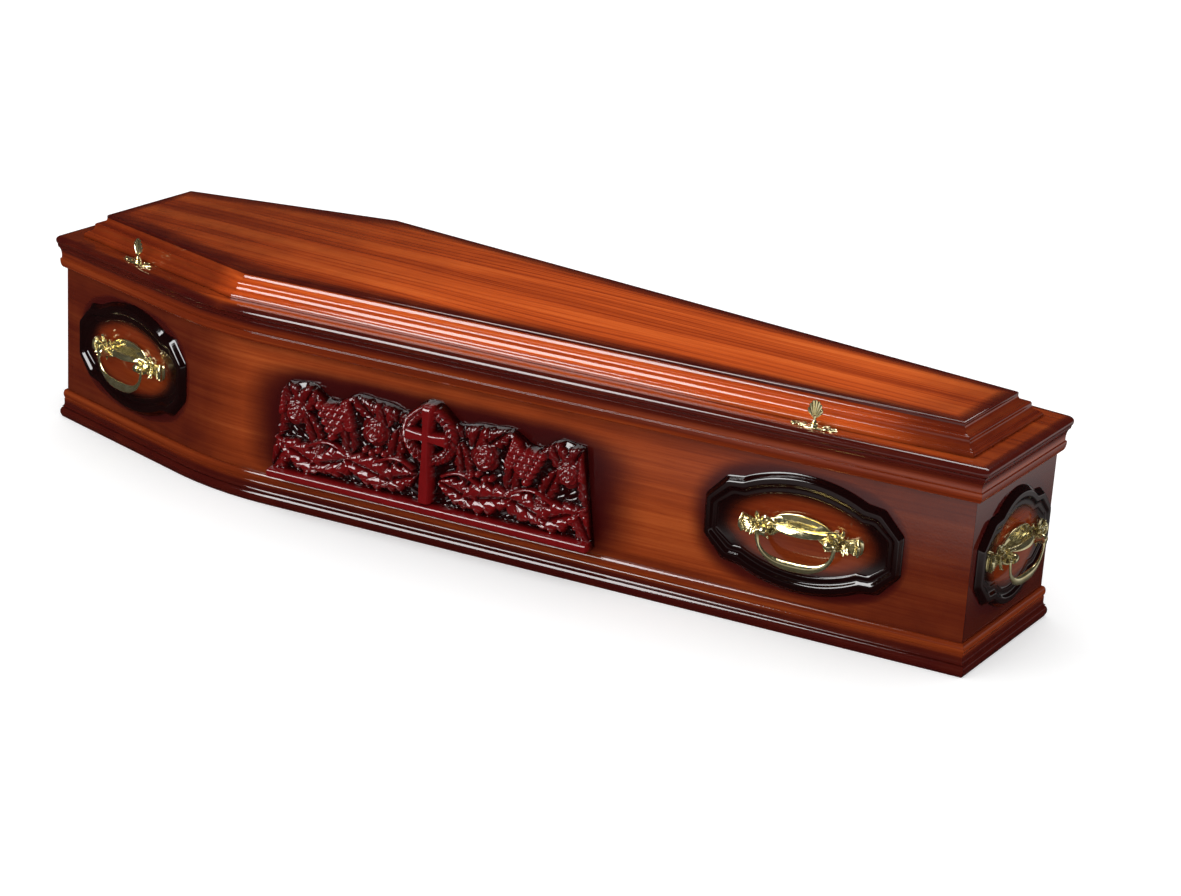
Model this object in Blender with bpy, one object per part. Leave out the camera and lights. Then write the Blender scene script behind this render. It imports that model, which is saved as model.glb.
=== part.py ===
"""A shouldered wooden coffin with a raised lid, swing handles, lid screws and carved side panels.

The head is at -X, the foot at +X, and the left side (seen from the foot) at -Y.
The origin is on the floor under the middle of the body. Everything is in metres.
"""
import math

import bmesh
import bpy
from mathutils import Matrix, Vector

# The plan, measured outside the walls.
BODY_LENGTH = 1.920
HEAD_WIDTH = 0.340
SHOULDER_WIDTH = 0.590
FOOT_WIDTH = 0.318
SHOULDER_FROM_HEAD = 0.478
SHOULDER_BEND_RADIUS = 0.650
BEND_STEPS = 5

# The boards of the box.
BODY_HEIGHT = 0.350
WALL = 0.018
BASE_THICKNESS = 0.018
GAP = 0.0003

# The mouldings round the box.
PLINTH_HEIGHT = 0.056
PLINTH_PROJECTION = 0.012
UPPER_MOULDING_HEIGHT = 0.046
UPPER_MOULDING_PROJECTION = 0.015

# The lid, from the board up to the raised panel.
LID_BOARD_THICKNESS = 0.016
LID_OVERHANG = 0.020
LID_CORNER_RADIUS = 0.014
LID_EDGE_ROUNDING = 0.012
LID_MOULDING_SETBACK = 0.0244
LID_MOULDING_WIDTH = 0.051
LID_MOULDING_HEIGHT = 0.0375
PANEL_THICKNESS = 0.012
PANEL_EDGE = 0.006
PANEL_ARRIS = 0.003

# The routed plaques behind the handles.
PLAQUE_HEIGHT = 0.210
SIDE_PLAQUE_WIDTH = 0.356
SHOULDER_PLAQUE_WIDTH = 0.340
END_PLAQUE_WIDTH = 0.276
PLAQUE_FIELD = 0.005
PLAQUE_RIM = 0.0115
PLAQUE_BORDER = 0.026
PLAQUE_CENTRE_HEIGHT = 0.180
SHOULDER_PLAQUE_FROM_HEAD = 0.222
SIDE_PLAQUE_FROM_FOOT = 0.294

# The cast handles.
HANDLE_WIDTH = 0.220
HANDLE_RAISE = 0.003
PIVOT_STANDOFF = 0.026
POST_WIDTH = 0.012
POST_RADIUS = 0.008
BAIL_WIDTH = 0.146
PLATE_THICKNESS = 0.004
FAN_HEIGHT = 0.034
DISH_HEIGHT = 0.030
DISH_DEPTH = 0.024
BUD_HEIGHT = 0.025
BAIL_DROP = 0.060
BAIL_ROD = 0.0040
GRIP_THICKNESS = 0.0070
PIN_RADIUS = 0.0030
PIN_CLEARANCE = 0.0006
PIN_DEPTH = 0.007
POST_CLEARANCE = 0.001

# The carved panels on the two long sides.
RELIEF_LENGTH = 0.646
RELIEF_HEIGHT = 0.206
RELIEF_DEPTH = 0.040
RELIEF_FROM_SHOULDER = 0.452
RELIEF_BOTTOM = 0.068

# The lid screws.
SCREW_PLATE_LENGTH = 0.084
SCREW_PLATE_WIDTH = 0.022
SCREW_PLATE_THICKNESS = 0.004
SCREW_HEAD_HEIGHT = 0.036
SCREW_HEAD_WIDTH = 0.029
SCREW_HEAD_THICKNESS = 0.005
SCREW_SHANK_RADIUS = 0.0025
SCREW_LENGTH = 0.045
SCREW_CLEARANCE = 0.0006
SCREW_BOSS_HEIGHT = 0.0076

HEAD_LEFT, SHOULDER_LEFT, FOOT_LEFT, FOOT_RIGHT, SHOULDER_RIGHT, HEAD_RIGHT = range(6)


def clear_scene():
    for thing in list(bpy.data.objects):
        bpy.data.objects.remove(thing, do_unlink=True)


def make_material(name, colour, roughness, metallic=0.0):
    material = bpy.data.materials.new(name)
    material.use_nodes = True
    shader = material.node_tree.nodes["Principled BSDF"]
    shader.inputs["Base Color"].default_value = (*colour, 1.0)
    shader.inputs["Roughness"].default_value = roughness
    shader.inputs["Metallic"].default_value = metallic
    return material


def plan_corners():
    """The six corners outside the walls, counter-clockwise seen from above."""
    head_x = -BODY_LENGTH / 2
    shoulder_x = head_x + SHOULDER_FROM_HEAD
    left = [
        Vector((head_x, -HEAD_WIDTH / 2)),
        Vector((shoulder_x, -SHOULDER_WIDTH / 2)),
        Vector((BODY_LENGTH / 2, -FOOT_WIDTH / 2)),
    ]
    right = [Vector((corner.x, -corner.y)) for corner in reversed(left)]
    return left + right


CORNERS = plan_corners()


def edge_direction(edge):
    """The unit vector along the edge that starts at corner number edge."""
    start = CORNERS[edge % 6]
    return (CORNERS[(edge + 1) % 6] - start).normalized()


def edge_normal(edge):
    along = edge_direction(edge)
    return Vector((along.y, -along.x))


def edge_length(edge):
    return (CORNERS[(edge + 1) % 6] - CORNERS[edge % 6]).length


def corner_point(corner, offset):
    """The corner of the plan after every edge has moved out by offset."""
    before = edge_normal(corner - 1)
    after = edge_normal(corner)
    reach = offset / (1.0 + before.dot(after))
    return CORNERS[corner % 6] + (before + after) * reach


def mitre_station(corner, edge, sign):
    """A station in the mitre at a corner, held back half a joint gap along its own edge."""
    bisector = (edge_normal(corner - 1) + edge_normal(corner)).normalized()
    along = edge_direction(edge)
    slant = abs(along.x * bisector.y - along.y * bisector.x)
    back = along * (sign * GAP / 2 / slant)
    return lambda offset: corner_point(corner, offset) + back


def bend_stations(corner, steps=BEND_STEPS):
    """Stations round a shoulder, where the board is bent to a large radius."""
    centre = corner_point(corner, -SHOULDER_BEND_RADIUS)
    before = edge_normal(corner - 1)
    start = math.atan2(before.y, before.x)
    turn = edge_normal(corner - 1).angle(edge_normal(corner))
    stations = []
    for step in range(steps + 1):
        angle = start + turn * step / steps
        facing = Vector((math.cos(angle), math.sin(angle)))
        stations.append(lambda offset, facing=facing: centre + facing * (SHOULDER_BEND_RADIUS + offset))
    return stations


def run_stations(first, last, bent):
    """The stations of a piece that runs from corner first to corner last."""
    stations = [mitre_station(first, first, 1.0)]
    if last - first == 2 and bent:
        stations += bend_stations(first + 1)
    stations.append(mitre_station(last, last - 1, -1.0))
    return stations


def plan_outline(offset, end_radius=0.0, end_steps=2, bent=True):
    """The closed outline of the plan at an offset, with bent shoulders and rounded end corners."""
    points = []
    for corner in range(6):
        is_shoulder = corner in (SHOULDER_LEFT, SHOULDER_RIGHT)
        if is_shoulder and bent:
            points += [station(offset) for station in bend_stations(corner)]
        elif end_radius > 0 and not is_shoulder:
            centre = corner_point(corner, offset - end_radius)
            before = edge_normal(corner - 1)
            start = math.atan2(before.y, before.x)
            turn = before.angle(edge_normal(corner))
            for step in range(end_steps + 1):
                angle = start + turn * step / end_steps
                points.append(centre + Vector((math.cos(angle), math.sin(angle))) * end_radius)
        else:
            points.append(corner_point(corner, offset))
    return points


def finish_mesh(name, bm, smooth_angle):
    bmesh.ops.recalc_face_normals(bm, faces=bm.faces)
    mesh = bpy.data.meshes.new(name)
    bm.to_mesh(mesh)
    bm.free()
    if smooth_angle:
        mesh.shade_smooth()
        mesh.set_sharp_from_angle(angle=math.radians(smooth_angle))
    return mesh


def rings_mesh(name, rings, smooth_angle=0.0):
    """A closed body through rings of equally many points, capped at both ends."""
    bm = bmesh.new()
    made = [[bm.verts.new(point) for point in ring] for ring in rings]
    count = len(rings[0])
    for low, high in zip(made, made[1:]):
        for index in range(count):
            after = (index + 1) % count
            bm.faces.new((low[index], low[after], high[after], high[index]))
    bm.faces.new(made[0])
    bm.faces.new(made[-1])
    return finish_mesh(name, bm, smooth_angle)


def add_object(name, mesh, material, matrix=None):
    piece = bpy.data.objects.new(name, mesh)
    bpy.context.scene.collection.objects.link(piece)
    if not mesh.materials:
        mesh.materials.append(material)
    if matrix is not None:
        piece.matrix_world = matrix
    return piece


def sweep_profile(name, profile, stations, material):
    """A length of moulding: a closed profile of (offset, height) carried along the stations."""
    rings = [[(*station(offset), height) for offset, height in profile] for station in stations]
    return add_object(name, rings_mesh(name, rings, 35), material)


def stack_outlines(name, steps, material, outline):
    """A board whose edge profile is given from the underside up as (offset, height)."""
    rings = [[(*point, height) for point in outline(offset)] for offset, height in steps]
    return add_object(name, rings_mesh(name, rings, 35), material)


def arc(centre, radius_x, radius_y, start, end, steps):
    """Points on an ellipse from one angle to another, in degrees."""
    points = []
    for step in range(steps + 1):
        angle = math.radians(start + (end - start) * step / steps)
        points.append((centre[0] + radius_x * math.cos(angle), centre[1] + radius_y * math.sin(angle)))
    return points


def evaluated_mesh(piece, name):
    """The mesh of an object after its modifiers."""
    depsgraph = bpy.context.evaluated_depsgraph_get()
    mesh = bpy.data.meshes.new_from_object(piece.evaluated_get(depsgraph), depsgraph=depsgraph)
    mesh.name = name
    return mesh


def add_boolean(piece, cutter, operation):
    modifier = piece.modifiers.new(cutter.name, "BOOLEAN")
    modifier.operation = operation
    modifier.solver = "EXACT"
    modifier.object = cutter


def make_cutter(name, mesh, matrix):
    cutter = bpy.data.objects.new(name, mesh)
    bpy.context.scene.collection.objects.link(cutter)
    cutter.matrix_world = matrix
    cutter.hide_render = True
    cutter.display_type = "WIRE"
    return cutter


def rod_mesh(name, radius, low, high, sides):
    """A plain round rod along local Z from low to high."""
    rings = []
    for height in (low, high):
        circle = arc((0, 0), radius, radius, 0, 360 - 360 / sides, sides - 1)
        rings.append([(x, y, height) for x, y in circle])
    return rings_mesh(name, rings)


# The carcass

def board_profile(inner, outer, low, high):
    return [(outer, low), (outer, high), (inner, high), (inner, low)]


def make_carcass(wood):
    """Five boards: a base inside four walls that meet in mitres, with bent sides."""
    wall = board_profile(-WALL, 0.0, 0.0, BODY_HEIGHT)
    sides = {
        "side_board_left": (HEAD_LEFT, FOOT_LEFT),
        "side_board_right": (FOOT_RIGHT, HEAD_RIGHT),
        "foot_board": (FOOT_LEFT, FOOT_RIGHT),
        "head_board": (HEAD_RIGHT, HEAD_RIGHT + 1),
    }
    boards = {}
    for name, (first, last) in sides.items():
        boards[name] = sweep_profile(name, wall, run_stations(first, last, True), wood)
    inside = -(WALL + GAP)
    stack_outlines("base_board", [(inside, 0.0), (inside, BASE_THICKNESS)], wood, plan_outline)
    return boards


def plinth_profile():
    """From the floor up: a round foot, a hollow, a slim neck and a bead against the wall."""
    neck = PLINTH_PROJECTION * 0.45
    foot_height = PLINTH_HEIGHT * 0.36
    neck_top = PLINTH_HEIGHT * 0.66
    points = [(GAP, 0.0), (PLINTH_PROJECTION * 0.75, 0.0)]
    points += arc((neck, foot_height / 2), PLINTH_PROJECTION - neck, foot_height / 2, -45, 75, 4)
    points += [(neck, foot_height + PLINTH_HEIGHT * 0.10), (neck, neck_top)]
    bead = (PLINTH_HEIGHT - neck_top) / 2
    points += arc((neck * 0.4, neck_top + bead), neck * 0.85, bead, -50, 70, 3)
    points += [(GAP, PLINTH_HEIGHT)]
    return points


def upper_moulding_profile():
    """Under the lid: a wide top, a hollow running in, and a roll at the foot."""
    low = BODY_HEIGHT - UPPER_MOULDING_HEIGHT
    out = UPPER_MOULDING_PROJECTION
    waist = out * 0.57
    hollow_foot = low + UPPER_MOULDING_HEIGHT * 0.50
    points = [(GAP, low), (out * 0.32, low)]
    points += arc((out * 0.36, low + UPPER_MOULDING_HEIGHT * 0.19), out * 0.38, UPPER_MOULDING_HEIGHT * 0.19,
                  -60, 60, 3)
    hollow_height = BODY_HEIGHT - UPPER_MOULDING_HEIGHT * 0.12 - hollow_foot
    points += arc((out, hollow_foot), out - waist, hollow_height, 180, 105, 3)
    points += [(out, BODY_HEIGHT), (GAP, BODY_HEIGHT)]
    return points


def make_body_mouldings(wood):
    sides = {
        "left": (HEAD_LEFT, FOOT_LEFT),
        "right": (FOOT_RIGHT, HEAD_RIGHT),
        "foot": (FOOT_LEFT, FOOT_RIGHT),
        "head": (HEAD_RIGHT, HEAD_RIGHT + 1),
    }
    for side, (first, last) in sides.items():
        stations = run_stations(first, last, True)
        sweep_profile("plinth_moulding_" + side, plinth_profile(), stations, wood)
        sweep_profile("upper_moulding_" + side, upper_moulding_profile(), stations, wood)


# The lid

def lid_outline(offset):
    return plan_outline(offset, LID_CORNER_RADIUS + offset - LID_OVERHANG)


def make_lid_board(wood):
    low = BODY_HEIGHT + GAP
    half = LID_BOARD_THICKNESS / 2
    under = LID_EDGE_ROUNDING / 2
    steps = arc((LID_OVERHANG - under, low + half), under, half, -90, 0, 1)
    steps += arc((LID_OVERHANG - LID_EDGE_ROUNDING, low + half), LID_EDGE_ROUNDING, half, 0, 90, 3)[1:]
    return stack_outlines("lid_board", steps, wood, lid_outline)


def lid_moulding_base():
    return BODY_HEIGHT + GAP + LID_BOARD_THICKNESS + GAP


def lid_moulding_profile():
    """Two hollows one above the other, each ending in a small round lip, on a low foot."""
    base = lid_moulding_base()
    rise = LID_MOULDING_HEIGHT
    front = -LID_MOULDING_SETBACK
    depth = LID_MOULDING_WIDTH * 0.69
    back = front - LID_MOULDING_WIDTH
    lip = rise * 0.13
    points = [(back, base), (front, base), (front, base + rise * 0.08)]
    points += arc((front - lip, base + rise * 0.08), lip, lip, 20, 90, 2)
    low_hollow = (front - depth * 0.19, base + rise * 0.27)
    points += arc((low_hollow[0], low_hollow[1] + rise * 0.27), depth * 0.28, rise * 0.27, 270, 180, 3)
    points += arc((front - depth * 0.47 - lip * 0.7, base + rise * 0.58), lip * 0.7, lip, 10, 90, 2)
    high_hollow = front - depth * 0.61
    points += arc((high_hollow, base + rise), depth * 0.39, rise * 0.29, 270, 180, 4)
    points += [(back, base + rise)]
    return points


def make_lid_mouldings(wood):
    names = ("left_head", "left_foot", "foot", "right_foot", "right_head", "head")
    for edge, name in enumerate(names):
        stations = run_stations(edge, edge + 1, False)
        sweep_profile("lid_moulding_" + name, lid_moulding_profile(), stations, wood)


def make_lid_panel(wood):
    """The top board: a thin moulded edge on the mouldings, and a thicker middle let in between them."""
    seat = lid_moulding_base() + LID_MOULDING_HEIGHT + GAP
    inside = -(LID_MOULDING_SETBACK + LID_MOULDING_WIDTH + GAP)
    edge = -(LID_MOULDING_SETBACK + LID_MOULDING_WIDTH * 0.69)
    top = seat + PANEL_EDGE
    steps = [(inside, top - PANEL_THICKNESS), (inside, seat), (edge, seat), (edge, top - PANEL_ARRIS)]
    steps += arc((edge - PANEL_ARRIS, top - PANEL_ARRIS), PANEL_ARRIS, PANEL_ARRIS, 30, 90, 2)
    return stack_outlines("lid_panel", steps, wood, lambda offset: plan_outline(offset, bent=False))


# Places on the walls

def wall_place(edge, along, height, out=0.0):
    """A frame on the outside of a wall: local X along it, Y up and Z out of the wall."""
    side = edge_direction(edge)
    facing = edge_normal(edge)
    spot = CORNERS[edge % 6] + side * along + facing * out
    return Matrix((
        (side.x, 0.0, facing.x, spot.x),
        (side.y, 0.0, facing.y, spot.y),
        (0.0, 1.0, 0.0, height),
        (0.0, 0.0, 0.0, 1.0),
    ))


def handle_spots():
    """Name, edge, distance along it and plaque width for each of the six handles."""
    side = edge_length(SHOULDER_LEFT)
    shoulder = edge_length(HEAD_LEFT)
    return [
        ("left_head", HEAD_LEFT, SHOULDER_PLAQUE_FROM_HEAD, SHOULDER_PLAQUE_WIDTH),
        ("left_foot", SHOULDER_LEFT, side - SIDE_PLAQUE_FROM_FOOT, SIDE_PLAQUE_WIDTH),
        ("foot", FOOT_LEFT, FOOT_WIDTH / 2, END_PLAQUE_WIDTH),
        ("right_foot", FOOT_RIGHT, SIDE_PLAQUE_FROM_FOOT, SIDE_PLAQUE_WIDTH),
        ("right_head", SHOULDER_RIGHT, shoulder - SHOULDER_PLAQUE_FROM_HEAD, SHOULDER_PLAQUE_WIDTH),
        ("head", HEAD_RIGHT, HEAD_WIDTH / 2, END_PLAQUE_WIDTH),
    ]


# The plaques

def plaque_outline(half_width, inset):
    """Straight ends, chamfered corners with a small ear, and long arcs at the top and bottom.

    The inset runs from 0 at the outer outline to 1 at the edge of the field.
    """
    half_height = PLAQUE_HEIGHT / 2
    end = half_width - PLAQUE_BORDER * inset
    straight = half_height * (0.34 - 0.13 * inset)
    ear = Vector((half_width - half_height * (0.35 + 0.17 * inset), half_height * (0.72 - 0.31 * inset)))
    notch = Vector((half_width - half_height * (0.64 + 0.08 * inset), half_height * (0.755 - 0.345 * inset)))
    crown = half_height * (1.0 - 0.35 * inset)
    sagitta = crown - notch.y
    radius = (notch.x ** 2 + sagitta ** 2) / (2 * sagitta)
    half_angle = math.degrees(math.asin(notch.x / radius))
    over = arc((0.0, crown - radius), radius, radius, 90 - half_angle, 90 + half_angle, 4)
    upper = [(end, straight), tuple(ear)] + over + [(-ear.x, ear.y), (-end, straight)]
    return upper + [(-x, -y) for x, y in upper]


def plaque_mesh(name, width):
    steps = [(0.0, 0.0), (0.0, 0.4), (0.45, 0.72), (0.62, 1.0), (0.80, 0.93), (1.0, None)]
    rings = []
    for inset, share in steps:
        height = PLAQUE_FIELD if share is None else PLAQUE_RIM * share
        rings.append([(x, y, height) for x, y in plaque_outline(width / 2, inset)])
    return rings_mesh(name, rings, 30)


# The handles

def plate_outline():
    """The thin back plate: a waist under the dish, shoulders at the posts and flared ends."""
    half = HANDLE_WIDTH / 2
    tall = FAN_HEIGHT / 2
    upper = [
        (half, tall * 0.82), (half * 0.72, tall * 0.53), (half * 0.62, tall * 1.18), (half * 0.50, tall * 1.06),
        (half * 0.34, DISH_HEIGHT * 0.86), (0.0, DISH_HEIGHT),
    ]
    lower = [
        (0.0, DISH_HEIGHT * 0.13), (half * 0.30, DISH_HEIGHT * 0.03), (half * 0.48, -tall * 0.82),
        (half * 0.62, -tall * 0.82), (half * 0.72, -tall * 0.53), (half, -tall * 0.82),
    ]
    right = lower + upper
    left = [(-x, y) for x, y in reversed(right) if x > 0]
    return right + left


def dish_rings():
    """The boat-shaped dish between the posts, open upwards and outwards."""
    half = HANDLE_WIDTH * 0.245
    foot = PLATE_THICKNESS / 2
    low = DISH_HEIGHT * 0.27
    rings = []
    for step in range(-2, 3):
        share = step / 2.15
        swell = math.sqrt(1.0 - share * share)
        x = half * share
        back_top = DISH_HEIGHT * (0.40 + 0.87 * swell)
        rim = (DISH_HEIGHT * (0.37 + 0.30 * swell), DISH_DEPTH * (0.21 + 0.79 * swell))
        rings.append([
            (x, low, foot),
            (x, back_top, foot),
            (x, back_top, PLATE_THICKNESS + foot * swell),
            (x, (back_top + rim[0]) / 2 - DISH_HEIGHT * 0.1 * swell, rim[1] / 2),
            (x, *rim),
            (x, low + foot * swell, PLATE_THICKNESS + DISH_DEPTH * 0.5 * swell),
        ])
    return rings


def post_rings(side):
    """A lug that carries one end of the bail, round about the pivot."""
    outer = side * (BAIL_WIDTH / 2 - 2 * BAIL_ROD - POST_CLEARANCE)
    inner = outer - side * POST_WIDTH
    foot = PLATE_THICKNESS / 4
    nose = arc((0.0, PIVOT_STANDOFF), POST_RADIUS, POST_RADIUS, 0, 180, 5)
    profile = [(POST_RADIUS * 1.25, foot)] + nose + [(-POST_RADIUS * 1.25, foot)]
    return [[(x, y, z) for y, z in profile] for x in (inner, outer)]


def fan_rings(side):
    """The flared, ribbed end of the plate, outside the bail."""
    inner = side * (BAIL_WIDTH / 2 + BAIL_ROD)
    outer = side * HANDLE_WIDTH / 2
    foot = PLATE_THICKNESS / 4
    rib_height = PLATE_THICKNESS * 0.62
    rings = []
    for x, half, thick in ((inner, FAN_HEIGHT * 0.24, PLATE_THICKNESS * 2.5),
                           (outer, FAN_HEIGHT * 0.50, PLATE_THICKNESS * 1.75)):
        ribs = []
        for rib in range(5):
            ribs.append((x, half - half * 2 * rib / 4, thick + (rib_height if rib % 2 else 0.0)))
        rings.append([(x, half, foot)] + ribs + [(x, -half, foot)])
    return rings


def bud_rings(side):
    """The round bud on top of each end."""
    radius = Vector((BUD_HEIGHT * 0.34, BUD_HEIGHT * 0.5, BUD_HEIGHT * 0.34))
    centre = Vector((side * HANDLE_WIDTH * 0.35, FAN_HEIGHT * 0.5, PLATE_THICKNESS * 2.25))
    rings = []
    for tilt in (-60, 0, 60):
        height = math.sin(math.radians(tilt))
        width = math.cos(math.radians(tilt))
        circle = arc((0, 0), width, width, 0, 300, 5)
        rings.append([
            (centre.x + radius.x * x, centre.y + radius.y * height, centre.z + radius.z * z) for x, z in circle
        ])
    return rings


def handle_plate_mesh():
    """The back plate, dish, posts, fans and buds as one casting, with a blind hole in each post."""
    plate = [[(x, y, z) for x, y in plate_outline()] for z in (0.0, PLATE_THICKNESS)]
    parts = [dish_rings()]
    for side in (-1, 1):
        parts += [post_rings(side), fan_rings(side), bud_rings(side)]
    body = bpy.data.objects.new("handle_body", rings_mesh("handle_body", plate))
    bpy.context.scene.collection.objects.link(body)
    helpers = []
    for number, rings in enumerate(parts):
        helper = make_cutter("handle_part_%d" % number, rings_mesh("handle_part", rings), Matrix())
        add_boolean(body, helper, "UNION")
        helpers.append(helper)
    for side in (-1, 1):
        face = BAIL_WIDTH / 2 - 2 * BAIL_ROD - POST_CLEARANCE
        hole = rod_mesh("pin_hole", PIN_RADIUS + PIN_CLEARANCE, -PIN_DEPTH - POST_CLEARANCE, POST_CLEARANCE, 8)
        turn = Matrix.Rotation(math.radians(90 * side), 4, "Y")
        spot = Matrix.Translation((side * face, 0.0, PIVOT_STANDOFF))
        helper = make_cutter("pin_hole_%d" % side, hole, spot @ turn)
        add_boolean(body, helper, "DIFFERENCE")
        helpers.append(helper)
    mesh = evaluated_mesh(body, "handle_plate")
    for helper in helpers + [body]:
        bpy.data.objects.remove(helper, do_unlink=True)
    mesh.shade_smooth()
    mesh.set_sharp_from_angle(angle=math.radians(35))
    return mesh


def bail_path():
    """The centre line of the bail with its half thickness, from pin to pin."""
    half = BAIL_WIDTH / 2 - BAIL_ROD
    pin_end = BAIL_WIDTH / 2 - 2 * BAIL_ROD - POST_CLEARANCE - PIN_DEPTH
    corner = BAIL_ROD * 1.2
    drop = BAIL_DROP - GRIP_THICKNESS
    points = [(-pin_end, 0.0, PIN_RADIUS), (-half + corner, 0.0, PIN_RADIUS)]
    points.append((-half + corner * 0.25, -corner * 0.25, BAIL_ROD))
    steps = 8
    for step in range(steps + 1):
        angle = math.radians(180 * step / steps)
        thick = GRIP_THICKNESS if 3 <= step <= 5 else BAIL_ROD
        x = -half * math.copysign(abs(math.cos(angle)) ** 0.75, math.cos(angle))
        points.append((x, -corner * 1.5 - (drop - corner * 1.5) * math.sin(angle), thick))
    return points + [(-x, y, thick) for x, y, thick in reversed(points[:3])]


def bail_mesh():
    """The swing bail: a rod bent into a flat U, thicker at the grip, with its ends turned inwards."""
    path = bail_path()
    sides = 8
    places = [Vector((x, y)) for x, y, _ in path]
    steps = [(after - before).normalized() for before, after in zip(places, places[1:])]
    rings = []
    for index, (x, y, thick) in enumerate(path):
        before = steps[max(index - 1, 0)]
        after = steps[min(index, len(steps) - 1)]
        along = (before + after).normalized()
        mitre = 1.0 / along.dot(after)
        across = Vector((-along.y, along.x)) * mitre
        circle = arc((0, 0), thick, thick, 180 / sides, 360 - 180 / sides, sides - 1)
        rings.append([(x + across.x * a, y + across.y * a, b) for a, b in circle])
    return rings_mesh("handle_bail", rings, 50)


def make_handles(wood_dark, brass):
    plate = handle_plate_mesh()
    bail = bail_mesh()
    for name, edge, along, width in handle_spots():
        plaque = plaque_mesh("handle_plaque_" + name, width)
        add_object("handle_plaque_" + name, plaque, wood_dark, wall_place(edge, along, PLAQUE_CENTRE_HEIGHT, GAP))
        height = PLAQUE_CENTRE_HEIGHT + HANDLE_RAISE
        seat = PLAQUE_FIELD + 2 * GAP
        add_object("handle_plate_" + name, plate, brass, wall_place(edge, along, height, seat))
        pivot = wall_place(edge, along, height, seat + PIVOT_STANDOFF)
        add_object("handle_bail_" + name, bail, brass, pivot)


# The carved panels

def relief_motifs():
    """The carved forms of one half of the panel, as shares of its own length and height.

    Each is (x, y, half length, half width, turn in degrees, how far it stands out).
    """
    return [
        (0.000, 0.60, 0.46, 0.42, 0, 0.96),
        (0.205, 0.60, 0.26, 0.26, 0, 0.86),
        (0.330, 0.50, 0.32, 0.24, 80, 0.84),
        (0.430, 0.62, 0.24, 0.24, 0, 0.86),
        (0.125, 0.30, 0.34, 0.17, -24, 0.78),
        (0.290, 0.22, 0.42, 0.17, 4, 0.72),
        (0.440, 0.24, 0.26, 0.17, -8, 0.70),
        (0.275, 0.84, 0.22, 0.14, 60, 0.72),
        (0.380, 0.82, 0.22, 0.14, 118, 0.72),
    ]


MOTIFS = relief_motifs()
LEDGE_SHARE = 0.075
GROUND_SHARE = 0.34


def relief_share(x, y):
    """How far the carving stands out at a point, as a share of its depth."""
    aspect = RELIEF_LENGTH / RELIEF_HEIGHT
    most = 0.0
    for centre_x, centre_y, length, width, turn, top in MOTIFS:
        dx = (abs(x) - centre_x) * aspect
        dy = y - centre_y
        angle = math.radians(turn)
        along = (dx * math.cos(angle) + dy * math.sin(angle)) / length
        across = (dy * math.cos(angle) - dx * math.sin(angle)) / width
        reach = math.hypot(along, across)
        if reach < 1.0:
            most = max(most, (top - GROUND_SHARE) * math.cos(math.pi / 2 * reach) ** 0.8)
    return GROUND_SHARE + most


def relief_crest(x):
    """The uneven top outline: highest in the middle, with a swell over each group of forms."""
    middle = 0.13 * math.exp(-(x / 0.085) ** 2)
    swells = 0.055 * math.cos(4 * math.pi * (abs(x) - 0.215) / 0.5)
    return 0.85 + middle + swells * min(1.0, abs(x) / 0.10)


def relief_mesh():
    """The panel as one block: carved front, uneven top, leaning ends and a ledge at the foot."""
    columns = 40
    rows = 8
    bm = bmesh.new()
    front = []
    foot_line = []
    top_line = []
    for column in range(columns + 1):
        share = column / columns - 0.5
        top = relief_crest(share)
        line = []
        for row in range(rows + 1):
            y = LEDGE_SHARE + (top - LEDGE_SHARE) * (row - 1) / (rows - 1) if row else 0.0
            lean = 1.0 - 0.10 * max(0.0, y - LEDGE_SHARE)
            depth = 1.0 if row < 2 else relief_share(share, y)
            spot = (share * lean * RELIEF_LENGTH, y * RELIEF_HEIGHT)
            line.append(bm.verts.new((*spot, depth * RELIEF_DEPTH)))
            if row == 0:
                foot_line.append(bm.verts.new((*spot, 0.0)))
            elif row == rows:
                top_line.append(bm.verts.new((*spot, 0.0)))
        front.append(line)
    for left, right in zip(front, front[1:]):
        for row in range(rows):
            bm.faces.new((left[row], right[row], right[row + 1], left[row + 1]))
    for column in range(columns):
        bm.faces.new((foot_line[column], foot_line[column + 1], front[column + 1][0], front[column][0]))
        bm.faces.new((front[column][rows], front[column + 1][rows], top_line[column + 1], top_line[column]))
        bm.faces.new((top_line[column], top_line[column + 1], foot_line[column + 1], foot_line[column]))
    bm.faces.new([foot_line[0]] + front[0] + [top_line[0]])
    bm.faces.new([top_line[-1]] + front[-1][::-1] + [foot_line[-1]])
    return finish_mesh("carved_relief", bm, 60)


def make_reliefs(wood_dark):
    mesh = relief_mesh()
    from_foot = edge_length(SHOULDER_LEFT) - RELIEF_FROM_SHOULDER
    spots = {"left": (SHOULDER_LEFT, RELIEF_FROM_SHOULDER), "right": (FOOT_RIGHT, from_foot)}
    for side, (edge, along) in spots.items():
        add_object("carved_relief_" + side, mesh, wood_dark, wall_place(edge, along, RELIEF_BOTTOM, GAP))


# The lid screws

def screw_place(edge, along):
    """A frame on the lid board over the middle of a wall, local Y towards the wall's outside."""
    side = edge_direction(edge)
    facing = edge_normal(edge)
    spot = CORNERS[edge % 6] + side * along - facing * (WALL / 2)
    return Matrix((
        (-side.x, facing.x, 0.0, spot.x),
        (-side.y, facing.y, 0.0, spot.y),
        (0.0, 0.0, 1.0, lid_moulding_base()),
        (0.0, 0.0, 0.0, 1.0),
    ))


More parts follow.
